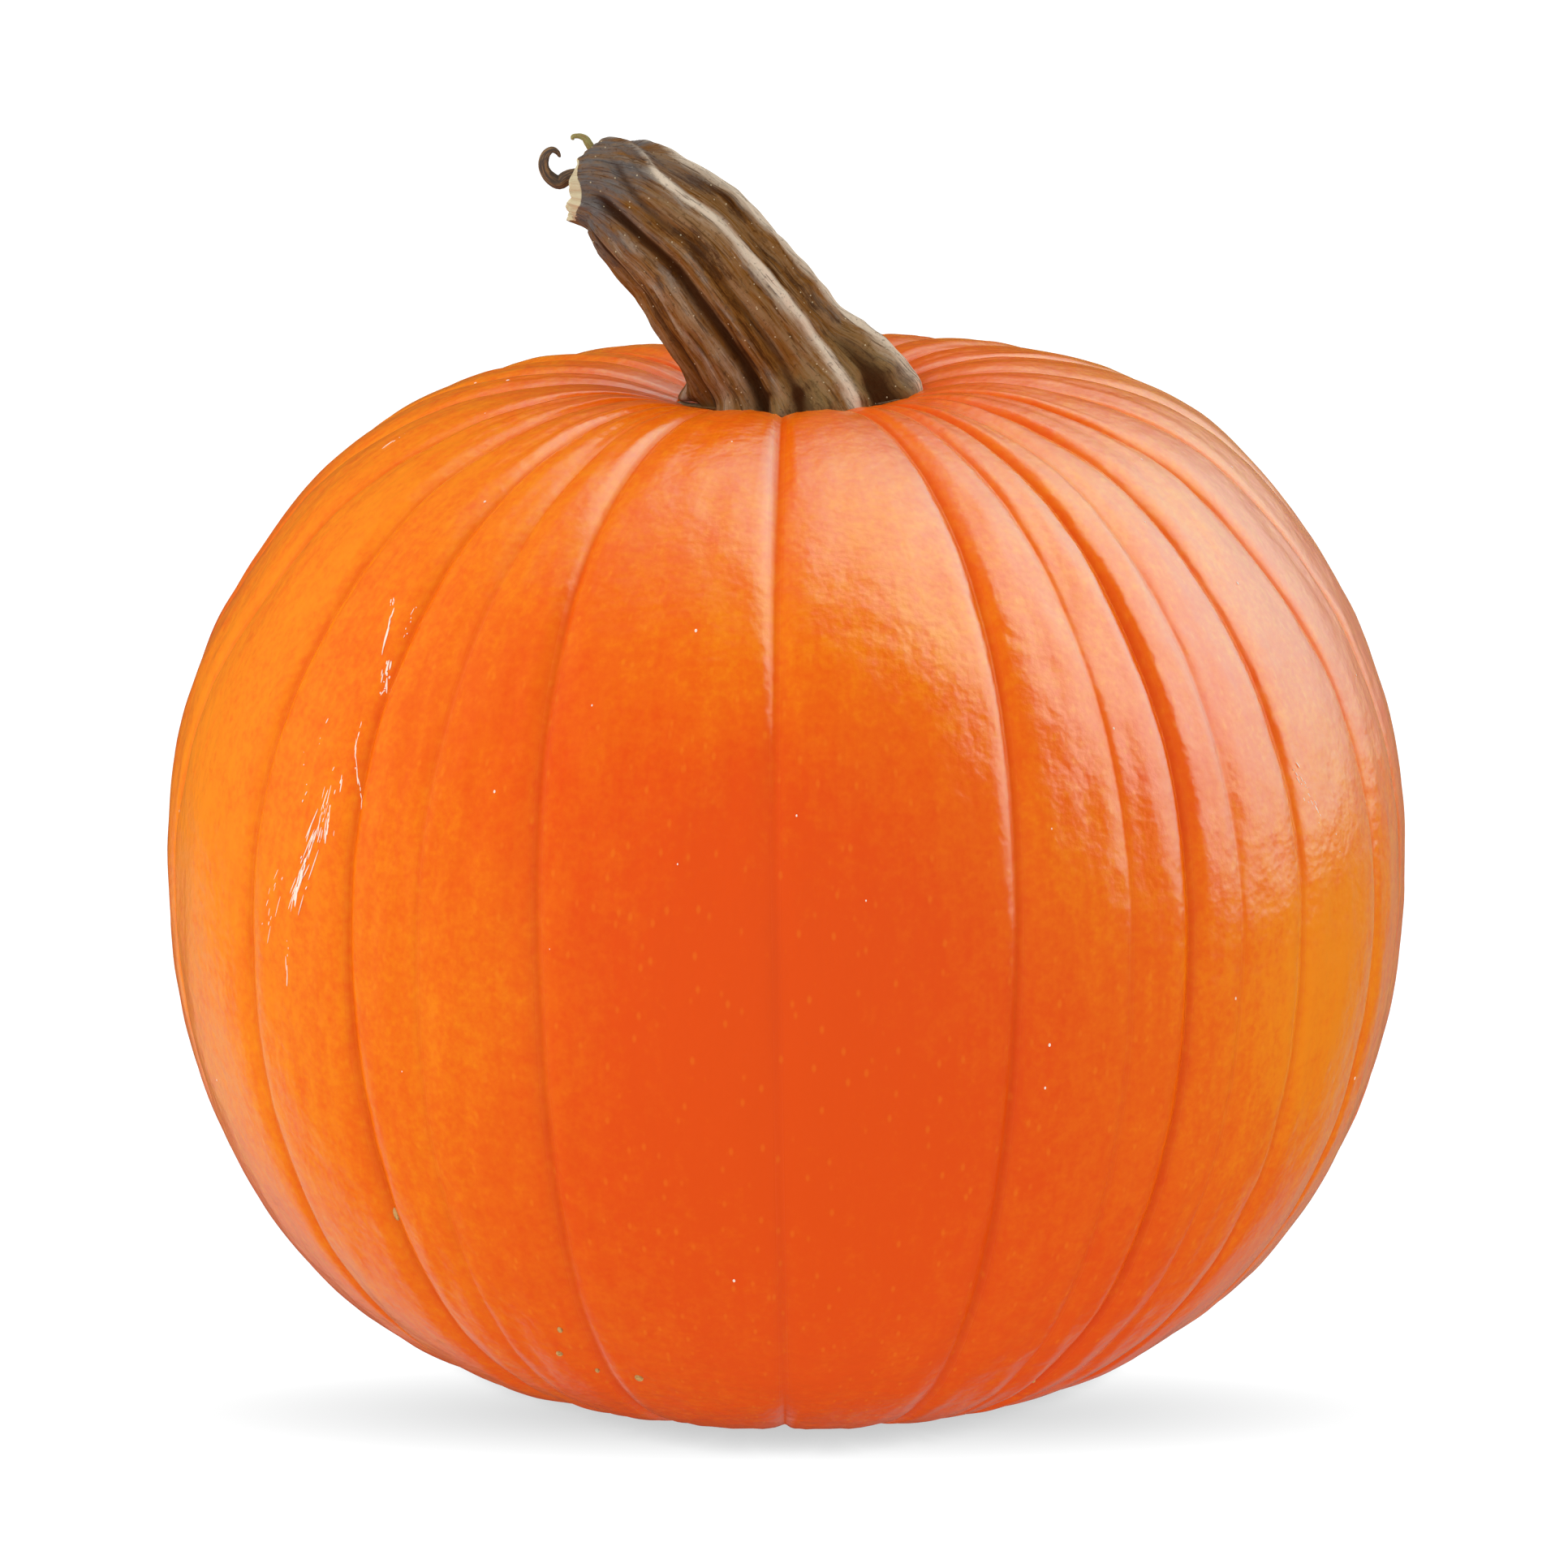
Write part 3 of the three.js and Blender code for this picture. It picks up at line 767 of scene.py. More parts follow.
def stem_finish(stem):
    """Dry woody stem: golden brown strands, painted shade in the furrows, pale crests with painted highlight,
    an ashen stain and a torn cut.
    """
    wood = Finish("dry_stem_wood")
    flow = wood.stored("flow", "Vector")
    strands = wood.noise(wood.stretched(flow, (1, 1, 0.1)), 1.7 * MM, 6, 0.7)
    threads = wood.noise(wood.stretched(flow, (1, 1, 0.08)), 0.7 * MM, 4, 0.65)
    blotch = wood.noise(wood.stretched(flow, (1, 1, 0.3)), 5 * MM, 6, 0.75)
    grit = wood.noise(wood.position, 1.1 * MM, 4, 0.7)
    speckle = wood.cells(wood.position, 2.1 * MM)
    furrow = wood.stored("furrow")
    pale = wood.stored("pale")
    along = wood.stored("along")
    colour = wood.mix(wood.fit(strands, 0.4, 0.62), tuple(stem.bark), tuple(stem.tan))
    colour = wood.mix(wood.fit(blotch, 0.5, 0.62, 0, 0.75), colour, tuple(stem.furrow))
    colour = wood.mix(wood.fit(strands, 0.42, 0.3, 0, 0.75), colour, tuple(stem.furrow))
    ash_near_cut = wood.math("MULTIPLY", wood.fit(along, 0.62, 0.9), wood.fit(blotch, 0.32, 0.6))
    colour = wood.mix(wood.math("MULTIPLY", ash_near_cut, 0.95), colour, tuple(stem.ash))
    moss_near_foot = wood.math("MULTIPLY", wood.fit(along, 0.33, 0.22), wood.fit(blotch, 0.3, 0.6))
    colour = wood.mix(wood.math("MULTIPLY", moss_near_foot, 0.8), colour, tuple(stem.moss))
    # Worn here means the pale crests: weathered wood with painted highlight on the ridges
    worn = wood.math("ADD", pale, wood.swing(strands, 0.6))
    worn = wood.math("ADD", worn, wood.swing(blotch, 1.1))
    colour = wood.mix(wood.fit(worn, 0.15, 0.9, 0, 0.95), colour, tuple(stem.crest_and_highlight))
    # Painted shade: darker towards the furrow colour in the furrows, bulb creases and cracks
    shade = wood.math("ADD", furrow, wood.swing(strands, 0.7))
    colour = wood.mix(wood.fit(shade, 0.42, 0.95, 0, 0.92), colour, tuple(stem.furrow))
    colour = wood.mix(wood.fit(threads, 0.54, 0.66, 0, 0.6), colour, tuple(stem.furrow))
    colour = wood.mix(wood.fit(grit, 0.55, 0.7, 0, 0.5), colour, tuple(stem.furrow))
    # Darker blotches towards the foot
    dark_near_foot = wood.math("MULTIPLY", wood.fit(along, 0.3, 0.2), wood.fit(blotch, 0.5, 0.62))
    colour = wood.mix(wood.math("MULTIPLY", dark_near_foot, 0.6), colour, tuple(stem.furrow))
    colour = wood.mix(wood.fit(speckle, 0.05, 0.11, 0.75, 0), colour, tuple(stem.wood))
    torn = wood.math("ADD", wood.stored("cut"), wood.swing(blotch, 0.8))
    colour = wood.mix(wood.fit(torn, 0.4, 0.62, 0, 0.95), colour, tuple(stem.wood))
    colour = wood.mix(wood.stored("pith"), colour, tuple(stem.tan))
    wood.set("Base Color", colour)
    wood.set("Roughness", wood.fit(strands, 0.3, 0.7, 0.55, 0.8))
    wood.set("Specular IOR Level", DRY_SHINE)
    height = wood.math("ADD", wood.math("MULTIPLY", strands, 0.7), wood.math("MULTIPLY", threads, 0.3))
    height = wood.math("ADD", height, wood.math("MULTIPLY", grit, 0.35))
    wood.bump(wood.math("ADD", height, wood.math("MULTIPLY", blotch, 0.3)), 1.0 * MM)
    return wood.material


def fibre_finish(name, colour, edge):
    """A dried, twisted fibre with lighter strands along it."""
    fibre = Finish(name)
    flow = fibre.stored("flow", "Vector")
    strands = fibre.noise(fibre.stretched(flow, (1, 1, 0.15)), 0.7 * MM, 4, 0.65)
    fibre.set("Base Color", fibre.mix(fibre.fit(strands, 0.42, 0.68), tuple(colour), tuple(edge)))
    fibre.set("Roughness", 0.7)
    fibre.set("Specular IOR Level", DRY_SHINE)
    fibre.bump(strands, 0.3 * MM)
    return fibre.material


def mark_finish(name, colour, shade):
    """Dry lifted skin or cork, mottled by fine grain."""
    mark = Finish(name)
    grain = mark.noise(mark.position, 0.9 * MM, 3)
    mark.set("Base Color", mark.mix(mark.fit(grain, 0.45, 0.75), tuple(colour), tuple(shade)))
    mark.set("Roughness", 0.75)
    mark.set("Specular IOR Level", DRY_SHINE)
    mark.bump(grain, 0.15 * MM)
    return mark.material


def grow_fruit(fruit):
    """The fruit's skin, from its profile, grooves and relief."""
    latitudes, travelled = ring_latitudes(fruit)

    def place(ring, column):
        latitude = latitudes[ring]
        rib = column // RIB_COLUMNS
        step = (column % RIB_COLUMNS) / RIB_COLUMNS
        share = step - GROOVE_CROWDING * np.sin(2 * math.pi * step) / (2 * math.pi)
        lines = groove_azimuths(latitude)
        row = np.arange(len(ring))
        start = lines[row, rib]
        turn = (lines[row, (rib + 1) % len(GROOVES)] - start) % 360
        azimuth = start + turn * share
        points, crease_shade = skin_at(fruit, latitude, azimuth)
        outward = points - np.array([0, 0, fruit.widest_height])
        outward /= np.linalg.norm(outward, axis=1)[:, None]
        standing = smooth((points[:, 2] - LUMP_START) / LUMP_GROWTH)
        near_stem = 1 - bell(np.hypot(points[:, 0], points[:, 1]), RIB_FADE_TOP)
        for scale, rise in LUMP_SCALES:
            points = points + outward * (rise * noise_at(points, scale) * standing * near_stem)[:, None]
        scar = np.where(latitude < 0, bell(np.hypot(points[:, 0], points[:, 1]), SCAR_RADIUS), 0)
        points[:, 2] -= SCAR_DEPTH * scar
        angle = np.radians(azimuth)
        flow = np.stack([
            fruit.radius * np.sin(angle), -fruit.radius * np.cos(angle), travelled[ring],
        ], axis=1)
        ripe = np.zeros(len(ring))
        for patch_azimuth, patch_latitude, width, height, amount in RIPE_PATCHES:
            ripe += (
                amount * bell(turn_between(azimuth, patch_azimuth), width)
                * bell(np.degrees(latitude) - patch_latitude, height)
            )
        return points, {"flow": flow, "crease_shade": crease_shade, "scar": scar, "ripe": ripe}

    return rolled_skin("fruit_skin", RIB_COLUMNS * len(GROOVES), FRUIT_RINGS, place)


def spline_at(points, share):
    """Points of an even Catmull-Rom spline through the given ones."""
    ends = np.vstack([2 * points[0] - points[1], points, 2 * points[-1] - points[-2]])
    place = np.clip(share, 0, 1) * (len(points) - 1)
    index = np.minimum(place.astype(int), len(points) - 2)
    weight = (place - index)[:, None]
    before, start, end, after = (ends[index + step] for step in range(4))
    leave = (end - before) / 2
    arrive = (after - start) / 2
    return (
        (2 * start - 2 * end + leave + arrive) * weight**3
        + (3 * end - 3 * start - 2 * leave - arrive) * weight**2
        + leave * weight + start
    )


def spline_frame(points, share):
    """Places on a spline, with the direction along it and the direction on its upper side."""
    nudge = 1e-4
    along = spline_at(points, share + nudge) - spline_at(points, share - nudge)
    along /= np.linalg.norm(along, axis=1)[:, None]
    upper = np.cross(along, FRONT)
    upper /= np.linalg.norm(upper, axis=1)[:, None]
    return spline_at(points, share), along, upper


def skin_height(fruit, x, y):
    """Height of the skin in and round the well, under points at x and y."""
    radius = np.clip(np.hypot(x, y), 0, 0.7 * fruit.radius)
    latitude = np.arccos((radius / fruit.radius) ** (1 / SIDE_FULLNESS))
    points, _ = skin_at(fruit, latitude, np.degrees(np.arctan2(x, -y)))
    return points[:, 2]


def grow_stem(fruit, stem):
    """The stem: furrowed, stranded and cracked along its length, with its foot in the skin and a torn cut."""
    path = STEM_PATH * MM
    path[:, 2] += fruit.widest_height
    side_rings = STEM_RINGS - CUT_RINGS

    def place(ring, column):
        side = np.clip((ring - 1) / (side_rings - 1), 0, 1)
        along = STEM_START + (1 - STEM_START) * side
        inward = np.clip((ring - side_rings) / (CUT_RINGS + 1), 0, 1)
        around = 360 * column / STEM_COLUMNS
        away = np.abs(turn_between(around, STILL_SIDE))
        angle = around - (
            CUT_TURN * smooth((along - CUT_TURN_FROM) / CUT_TURN_LENGTH) * smooth(away / TURN_SPREAD)
        )
        high = smooth((along - FOOT_TURN_FROM) / FOOT_TURN_LENGTH)
        angle = angle + FOOT_TURN * (1 - high)
        furrow = 0
        # The stain here is painted shade: darker colour in the furrows, and in the crease over each bulb
        stain = 0
        for at, depth, width, dark, foot_dark in STEM_FURROWS:
            groove = bell(turn_between(angle, at), width)
            furrow = furrow + depth * groove
            stain = stain + (foot_dark + (dark - foot_dark) * high) * groove
        toes = sum(reach * bell(turn_between(angle, at), width) for at, reach, width in STEM_TOES)
        from_skin = np.maximum(along - 1 / (len(STEM_PATH) - 1), 0)
        flatter = FLATTER_END[2] * smooth((along - FLATTER_END[0]) / FLATTER_END[1])
        relief = 1 - (1 - flatter) * furrow + toes * bell(from_skin, TOE_FADE)
        wander = angle + 5 * np.sin(7 * along)
        strands = ripple(wander, STRAND_COUNTS, 3 * along, SEED + 2)
        middle, forward, upper = spline_frame(path[:, :3], along)
        radius = spline_at(path[:, 3:], along)[:, 0] * stem.girth
        reach = radius * relief + STRAND_DEPTH * strands
        crack = np.zeros(len(ring))
        for at, start, end, depth in CRACKS:
            window = smooth((along - start) / 0.04) * smooth((end - along) / 0.04)
            line = bell(turn_between(angle, at + 2 * np.sin(30 * along)), CRACK_WIDTH)
            crack += depth * line * window
        reach -= crack * MM
        for at, bulb_angle, length, width, rise in FOOT_BULBS:
            bulge = bell(turn_between(angle, bulb_angle), width)
            reach += rise * MM * bell(along - at, length) * bulge
            stain = stain + BULB_SHADE * bell(along - at - 1.7 * length, 0.5 * length) * bulge
        turn = np.radians(around)
        outward = FRONT * np.cos(turn)[:, None] + upper * np.sin(turn)[:, None]
        knots = noise_at(middle + outward * reach[:, None], KNOT_SCALE)
        reach += KNOT_DEPTH * knots * (1 + 2 * (1 - high))
        jag = (np.sin(3 * turn + 1) + np.sin(8 * turn)) / 2
        jag += 0.7 * ripple(angle, (13, 21, 34), turn, SEED + 3)
        push = CUT_JAG * jag * smooth((along - 0.96) / 0.04) * (1 - inward) ** 2
        push = push - CUT_HOLLOW * smooth(inward * 1.6)
        slanting = smooth((along - SLANT_FROM) / SLANT_LENGTH)
        for depth, worn_side, worn_width in CUT_SLANTS:
            worn = bell(turn_between(around, worn_side), worn_width)
            push = push - depth * (worn * slanting * (1 - inward))
        cream_length, cream_side, cream_width, least_cream = CREAM_EDGE
        cream = cream_length * bell(turn_between(around, cream_side), cream_width) + least_cream
        reach *= 1 - inward
        points = middle + outward * reach[:, None] + forward * push[:, None]
        low = points[:, 2] < fruit.widest_height + fruit.crown_height
        floor = skin_height(fruit, points[:, 0], points[:, 1]) - FOOT_SINK
        points[:, 2] = np.where(low, np.maximum(points[:, 2], floor), points[:, 2])
        # Pale crests: weathered wood with painted highlight, fading towards the cut
        pale = sum(strength * bell(turn_between(angle, at), width) for at, width, strength in PALE_CRESTS_AND_HIGHLIGHTS)
        return points, {
            "flow": np.stack([
                STEM_GRAIN[0] * np.sin(turn), -STEM_GRAIN[0] * np.cos(turn),
                STEM_GRAIN[1] * along + STEM_GRAIN[2] * inward,
            ], axis=1),
            # The furrow value carries painted shade for the furrows, bulb creases and cracks
            "furrow": np.clip((1 - flatter) * stain + 1.2 * crack, 0, 1.2),
            "pale": pale * (1 - 0.6 * smooth((along - 0.76) / 0.12)),
            "along": along,
            "cut": smooth((along - 1 + cream) / (0.6 * cream)) * (1 - inward),
            "pith": smooth(inward * 2),
        }

    return rolled_skin("woody_stem", STEM_COLUMNS, STEM_RINGS, place)


def grow_fibre(fruit, name, shape):
    """One torn fibre: flat at its root, thinning as it curls."""
    line, forward, root, tip = shape
    path = np.array([(x, forward, fruit.widest_height / MM + z) for x, z in line]) * MM

    def place(ring, column):
        share = ring / (FIBRE_RINGS + 1)
        middle, _, upper = spline_frame(path, share)
        round_off = np.sqrt(np.clip(1 - np.maximum(0, (share - 0.94) / 0.06) ** 2, 0, 1))
        round_off = np.where(ring == 0, 0, round_off)
        radius = (root + (tip - root) * share**2) * MM * round_off
        turn = np.radians(360 * column / FIBRE_COLUMNS)
        twist = turn + 2.2 * share
        flat = 1 - 0.3 * np.cos(twist) ** 2 + 0.14 * np.sin(3 * turn + 9 * share)
        reach = (radius * flat)[:, None]
        points = middle + FRONT * np.cos(turn)[:, None] * reach + upper * np.sin(turn)[:, None] * reach
        flow = np.stack([
            FIBRE_GRAIN[0] * np.sin(turn), FIBRE_GRAIN[0] * np.cos(turn), FIBRE_GRAIN[1] * share,
        ], axis=1)
        return points, {"flow": flow}

    return rolled_skin(name, FIBRE_COLUMNS, FIBRE_RINGS, place)


def pebbles(name, rounds, placed):
    """One mesh of many small pebbles. Each has its middle, its three directions and its three half-sizes."""
    deselect_all()
    bpy.ops.mesh.primitive_ico_sphere_add(subdivisions=rounds, radius=1)
    seed = bpy.context.object
    points = np.array([vertex.co for vertex in seed.data.vertices])
    faces = np.array([polygon.vertices for polygon in seed.data.polygons])
    bpy.data.objects.remove(seed)
    all_points = []
    all_faces = []
    for index, (middle, directions, sizes) in enumerate(placed):
        axes = np.array(directions) * np.array(sizes)[:, None]
        all_points.append(np.array(middle) + points @ axes)
        all_faces.append(faces + index * len(points))
    mesh = bpy.data.meshes.new(name)
    mesh.from_pydata(np.concatenate(all_points).tolist(), [], np.concatenate(all_faces).tolist())
    mesh.update()
    pile = bpy.data.objects.new(name, mesh)
    bpy.context.collection.objects.link(pile)
    pile.select_set(True)
    bpy.context.view_layer.objects.active = pile
    bpy.ops.object.shade_smooth()
    return pile


def scratch_flakes(fruit):
    """Places of the flakes along the scratches, and of the single specks over the skin."""
    draw = random.Random(SEED)
    placed = []
    for azimuth, latitude, end_azimuth, end_latitude, count, spread, longest, half_width in SCRATCHES:
        for index in range(count):
            share = (index + draw.uniform(0.2, 0.8)) / count
            here = azimuth + (end_azimuth - azimuth) * share
            height = latitude + (end_latitude - latitude) * share
            middle, out, *_ = skin_frame(fruit, here, height)
            ahead, *_ = skin_frame(
                fruit, here + (end_azimuth - azimuth) / count, height + (end_latitude - latitude) / count,
            )
            along = (ahead - middle).normalized()
            across = out.cross(along).normalized()
            along = (along + across * draw.uniform(-0.15, 0.15)).normalized()
            across = out.cross(along).normalized()
            middle = middle + across * draw.gauss(0, spread / 2) * MM
            half_length = longest * MM / 2 * draw.uniform(0.15, 1) ** 1.4
            width = half_width * MM * draw.uniform(0.5, 1.2)
            placed.append((middle, (along, across, out), (half_length, width, FLAKE_RISE)))
    for _ in range(SPECK_COUNT):
        middle, out, east, above = skin_frame(fruit, draw.uniform(-180, 180), draw.gauss(15, 28))
        radius = draw.uniform(*SPECK_RADII)
        placed.append((middle, (east, above, out), (radius, radius * 1.5, FLAKE_RISE)))
    return placed


class PUMPKIN_OT_fruit(bpy.types.Operator):
    """Grow the ribbed fruit"""

    bl_idname = "pumpkin.fruit"
    bl_label = "Fruit"

    def execute(self, context):
        fruit = context.scene.pumpkin_fruit
        skin = grow_fruit(fruit)
        skin.data.materials.append(skin_finish(fruit))
        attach(skin, "root")
        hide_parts("fruit")
        return {"FINISHED"}


class PUMPKIN_OT_stem(bpy.types.Operator):
    """Grow the woody stem"""

    bl_idname = "pumpkin.stem"
    bl_label = "Stem"

    def execute(self, context):
        stem = context.scene.pumpkin_stem
        stalk = grow_stem(context.scene.pumpkin_fruit, stem)
        stalk.data.materials.append(stem_finish(stem))
        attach(stalk, "root")
        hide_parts("stem")
        return {"FINISHED"}


class PUMPKIN_OT_fibres(bpy.types.Operator):
    """Grow the torn fibres that curl from the stem's cut end"""

    bl_idname = "pumpkin.fibres"
    bl_label = "Torn fibres"

    def execute(self, context):
        stem = context.scene.pumpkin_stem
        for name, shape, colour in (
            ("hooked_fibre", HOOK_FIBRE, stem.dark_fibre),
            ("short_fibre", SHORT_FIBRE, stem.green_fibre),
        ):
            fibre = grow_fibre(context.scene.pumpkin_fruit, name, shape)
            fibre.data.materials.append(fibre_finish(name + "_wood", colour, stem.tan))
            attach(fibre, "root")
        return {"FINISHED"}


class PUMPKIN_OT_marks(bpy.types.Operator):
    """Lay the scratches, specks and corky spots on the skin"""

    bl_idname = "pumpkin.marks"
    bl_label = "Skin marks"

    def execute(self, context):
        fruit = context.scene.pumpkin_fruit
        marks = context.scene.pumpkin_marks
        scratches = pebbles("skin_scratches", 2, scratch_flakes(fruit))
        scratches.data.materials.append(mark_finish("dry_scratch", marks.flake, marks.flake))
        spots = []
        for azimuth, latitude, half_length, half_width in CORK_SPOTS:
            middle, out, east, above = skin_frame(fruit, azimuth, latitude)
            spots.append((middle, (above, east, out), (half_length * MM, half_width * MM, SPOT_RISE)))
        corks = pebbles("corky_spots", 3, spots)
        corks.data.materials.append(mark_finish("corky_skin", marks.cork, fruit.scar))
        for piece in (scratches, corks):
            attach(piece, "root")
        return {"FINISHED"}


def add_camera(fruit):
    elevation = math.radians(CAMERA_ELEVATION)
    back = Vector((0, -math.cos(elevation), math.sin(elevation)))
    up = Vector((0, math.sin(elevation), math.cos(elevation)))
    aim = Vector((VIEW_SHIFT, 0, fruit.widest_height)) + up * VIEW_DROP
    bpy.ops.object.camera_add(location=aim + back * CAMERA_DISTANCE)
    camera = bpy.context.object
    camera.name = "view"
    camera.rotation_euler = (-back).to_track_quat("-Z", "Y").to_euler()
    camera.data.lens = CAMERA_LENS
    camera.data.sensor_width = SENSOR_WIDTH
    camera.data.clip_end = 100
    bpy.context.scene.camera = camera


def direction(azimuth, elevation):
    turn = math.radians(azimuth)
    lift = math.radians(elevation)
    return Vector((math.sin(turn) * math.cos(lift), -math.cos(turn) * math.cos(lift), math.sin(lift)))


def add_floor(stage):
    """A white floor with a soft shadow painted into its glow. The fill gives the light that comes up from it.
    """
    deselect_all()
    bpy.ops.mesh.primitive_plane_add(size=FLOOR_SIZE)
    floor = bpy.context.object
    floor.name = "floor"
    floor.visible_glossy = False
    floor.visible_diffuse = False
    material = bpy.data.materials.new("white_floor")
    material.use_nodes = True
    nodes = material.node_tree.nodes
    links = material.node_tree.links
    nodes.remove(nodes["Principled BSDF"])
    closed_in = nodes.new("ShaderNodeAmbientOcclusion")
    closed_in.inputs["Distance"].default_value = CONTACT_REACH
    place = nodes.new("ShaderNodeMapping")
    place.vector_type = "TEXTURE"
    place.inputs["Location"].default_value = (0, SHADOW_CENTRE, 0)
    place.inputs["Scale"].default_value = (*SHADOW_SIZE, 1)
    links.new(nodes.new("ShaderNodeTexCoord").outputs["Object"], place.inputs["Vector"])
    oval = nodes.new("ShaderNodeVectorMath")
    oval.operation = "LENGTH"
    links.new(place.outputs["Vector"], oval.inputs[0])
    # Painted shadow: the glow is dimmed in an oval under the fruit and by occlusion where it rests
    darker = nodes.new("ShaderNodeMath")
    darker.operation = "MINIMUM"
    for socket, value, light in (
        (darker.inputs[0], closed_in.outputs["AO"], CONTACT_LIGHT),
        (darker.inputs[1], oval.outputs["Value"], SHADOW_LIGHT),
    ):
        shade = nodes.new("ShaderNodeMapRange")
        links.new(value, shade.inputs["Value"])
        shade.inputs["To Min"].default_value = light[0]
        shade.inputs["To Max"].default_value = light[1]
        links.new(shade.outputs["Result"], socket)
    glow = nodes.new("ShaderNodeEmission")
    glow.inputs["Color"].default_value = (*stage.floor, 1)
    links.new(darker.outputs["Value"], glow.inputs["Strength"])
    links.new(glow.outputs["Emission"], nodes["Material Output"].inputs["Surface"])
    floor.data.materials.append(material)


def add_window(stage, fruit):
    """A big soft light on the left, in front, that shades the ribs but isn't mirrored in the skin."""
    towards = direction(*WINDOW_AT)
    aim = Vector((0, 0, fruit.widest_height))
    bpy.ops.object.light_add(type="AREA", location=aim + towards * WINDOW_DISTANCE)
    light = bpy.context.object
    light.name = "soft_window"
    light.data.shape = "SQUARE"
    light.data.size = WINDOW_SIZE
    light.data.energy = stage.window_power
    light.rotation_euler = towards.to_track_quat("Z", "Y").to_euler()
    light.visible_glossy = False


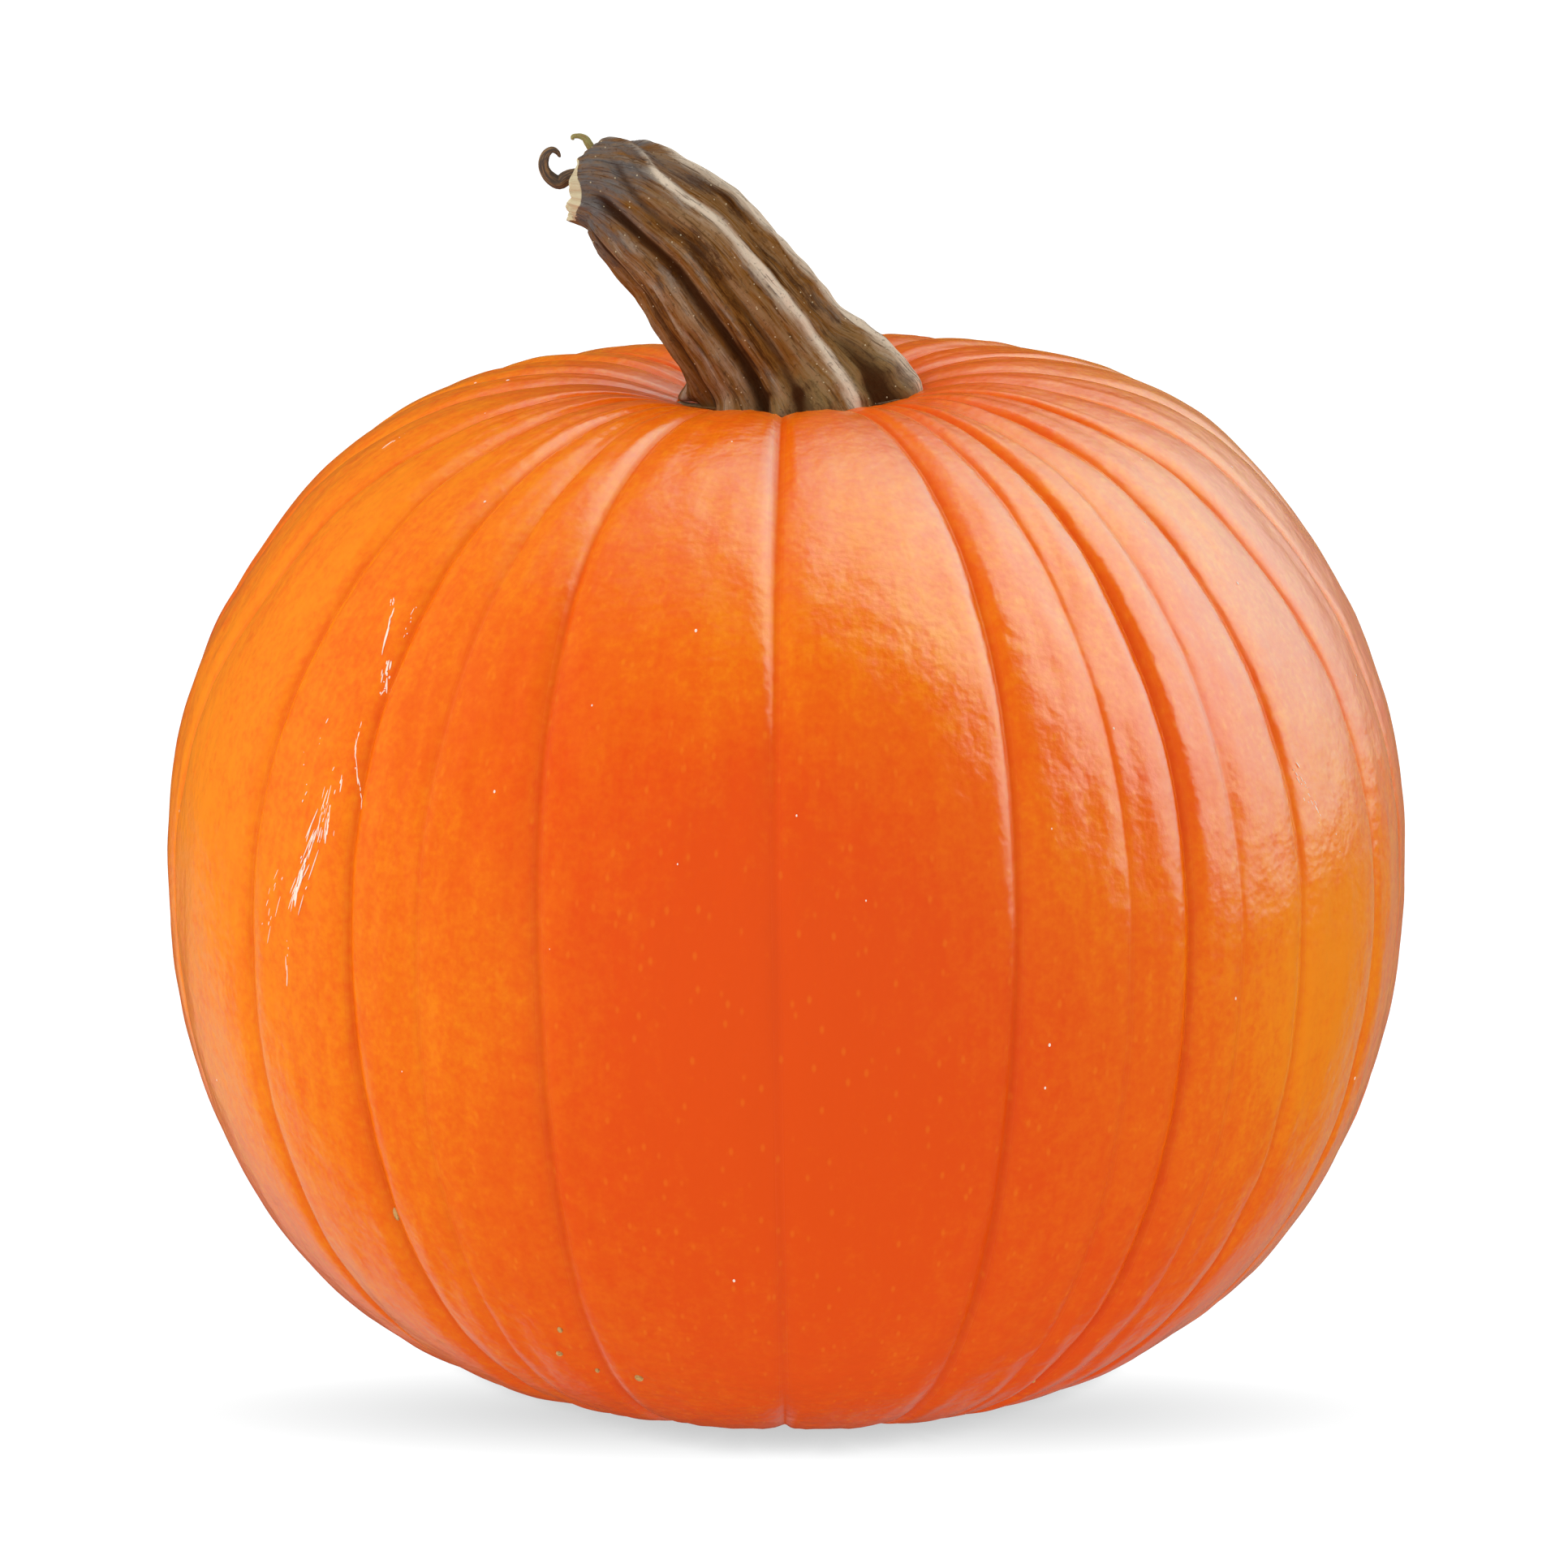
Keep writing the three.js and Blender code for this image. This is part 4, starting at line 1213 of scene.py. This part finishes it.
def add_daylight(stage):
    """Even fill for the shading, a bright sky on the right for the reflections, and white to the eye."""
    world = bpy.data.worlds.new("daylight")
    bpy.context.scene.world = world
    world.cycles.sampling_method = "NONE"
    world.use_nodes = True
    nodes = world.node_tree.nodes
    links = world.node_tree.links

    def calculate(operation, first, second):
        node = nodes.new("ShaderNodeMath")
        node.operation = operation
        for socket, value in zip(node.inputs, (first, second)):
            if isinstance(value, bpy.types.NodeSocket):
                links.new(value, socket)
            else:
                socket.default_value = value
        return node.outputs["Value"]

    def facing(towards):
        node = nodes.new("ShaderNodeVectorMath")
        node.operation = "DOT_PRODUCT"
        links.new(look, node.inputs[0])
        node.inputs[1].default_value = towards
        return node.outputs["Value"]

    def ease(value, low, high):
        node = nodes.new("ShaderNodeMapRange")
        node.interpolation_type = "SMOOTHSTEP"
        links.new(value, node.inputs["Value"])
        node.inputs["From Min"].default_value = low
        node.inputs["From Max"].default_value = high
        return node.outputs["Result"]

    look = nodes.new("ShaderNodeTexCoord").outputs["Generated"]
    height = facing(Vector((0, 0, 1)))
    lobe = calculate("POWER", calculate("MAXIMUM", facing(direction(*SKY_PEAK)), 0.0), SKY_FALL)
    sky = calculate("MULTIPLY", lobe, stage.sky_strength)
    sky = calculate("MULTIPLY", sky, ease(facing(direction(*SKY_CENTRE)), *SKY_EDGE))
    sky = calculate("MULTIPLY", sky, ease(height, *SKY_HORIZON))
    for azimuth, elevation, reach, brightness in BACK_GLOWS:
        glow = ease(facing(direction(azimuth, elevation)), math.cos(math.radians(reach)), 1)
        sky = calculate("ADD", sky, calculate("MULTIPLY", glow, brightness))
    off_horizon = calculate("MULTIPLY", calculate("ABSOLUTE", height, 0), FILL_DROP)
    off_horizon = calculate("ADD", off_horizon, calculate("MULTIPLY", height, FILL_TILT))
    even = calculate("MULTIPLY", calculate("SUBTRACT", 1, off_horizon), stage.fill_strength)
    lift = calculate("MULTIPLY", ease(facing(direction(*SIDE_LIFT_AT)), SIDE_LIFT_EDGE, 1), SIDE_LIFT)
    even = calculate("ADD", even, lift)
    rays = nodes.new("ShaderNodeLightPath")
    mirrored = nodes.new("ShaderNodeBackground")
    mirrored.inputs["Color"].default_value = (*stage.daylight, 1)
    links.new(calculate("ADD", sky, SKY_REST), mirrored.inputs["Strength"])
    fill = nodes.new("ShaderNodeBackground")
    links.new(even, fill.inputs["Strength"])
    seen = nodes.new("ShaderNodeBackground")
    seen.inputs["Color"].default_value = (1, 1, 1, 1)
    seen.inputs["Strength"].default_value = SEEN_WHITE
    lit = nodes.new("ShaderNodeMixShader")
    links.new(rays.outputs["Is Glossy Ray"], lit.inputs["Fac"])
    links.new(fill.outputs["Background"], lit.inputs[1])
    links.new(mirrored.outputs["Background"], lit.inputs[2])
    whole = nodes.new("ShaderNodeMixShader")
    links.new(rays.outputs["Is Camera Ray"], whole.inputs["Fac"])
    links.new(lit.outputs["Shader"], whole.inputs[1])
    links.new(seen.outputs["Background"], whole.inputs[2])
    links.new(whole.outputs["Shader"], nodes["World Output"].inputs["Surface"])


class PUMPKIN_OT_stage(bpy.types.Operator):
    """Set the floor, the daylight and the camera"""

    bl_idname = "pumpkin.stage"
    bl_label = "Stage"

    def execute(self, context):
        stage = context.scene.pumpkin_stage
        fruit = context.scene.pumpkin_fruit
        add_floor(stage)
        add_window(stage, fruit)
        add_daylight(stage)
        add_camera(fruit)
        context.scene.view_settings.view_transform = "Standard"
        return {"FINISHED"}


class PUMPKIN_PT_panel(bpy.types.Panel):
    """Sizes, colours and steps of the pumpkin"""

    bl_idname = "PUMPKIN_PT_panel"
    bl_label = "Pumpkin"
    bl_space_type = "VIEW_3D"
    bl_region_type = "UI"
    bl_category = "Pumpkin"

    def draw(self, context):
        for name in SETTINGS:
            group = getattr(context.scene, name)
            box = self.layout.box()
            for field in group.bl_rna.properties:
                if not field.is_readonly and field.identifier != "name":
                    box.prop(group, field.identifier)
        for operator in STEPS:
            self.layout.operator(operator.bl_idname)


SETTINGS = {
    "pumpkin_fruit": FruitSettings,
    "pumpkin_stem": StemSettings,
    "pumpkin_marks": MarkSettings,
    "pumpkin_stage": StageSettings,
}
STEPS = (PUMPKIN_OT_fruit, PUMPKIN_OT_stem, PUMPKIN_OT_fibres, PUMPKIN_OT_marks, PUMPKIN_OT_stage)


def register():
    for kind in (*SETTINGS.values(), *STEPS, PUMPKIN_PT_panel):
        bpy.utils.register_class(kind)
    for name, kind in SETTINGS.items():
        setattr(bpy.types.Scene, name, bpy.props.PointerProperty(type=kind))


def unregister():
    for name in SETTINGS:
        delattr(bpy.types.Scene, name)
    for kind in (PUMPKIN_PT_panel, *STEPS, *SETTINGS.values()):
        bpy.utils.unregister_class(kind)


def main():
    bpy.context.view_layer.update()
    register()
    bpy.ops.pumpkin.fruit()
    bpy.ops.pumpkin.stem()
    bpy.ops.pumpkin.fibres()
    bpy.ops.pumpkin.marks()
    bpy.ops.pumpkin.stage()


if __name__ == "__main__":
    main()
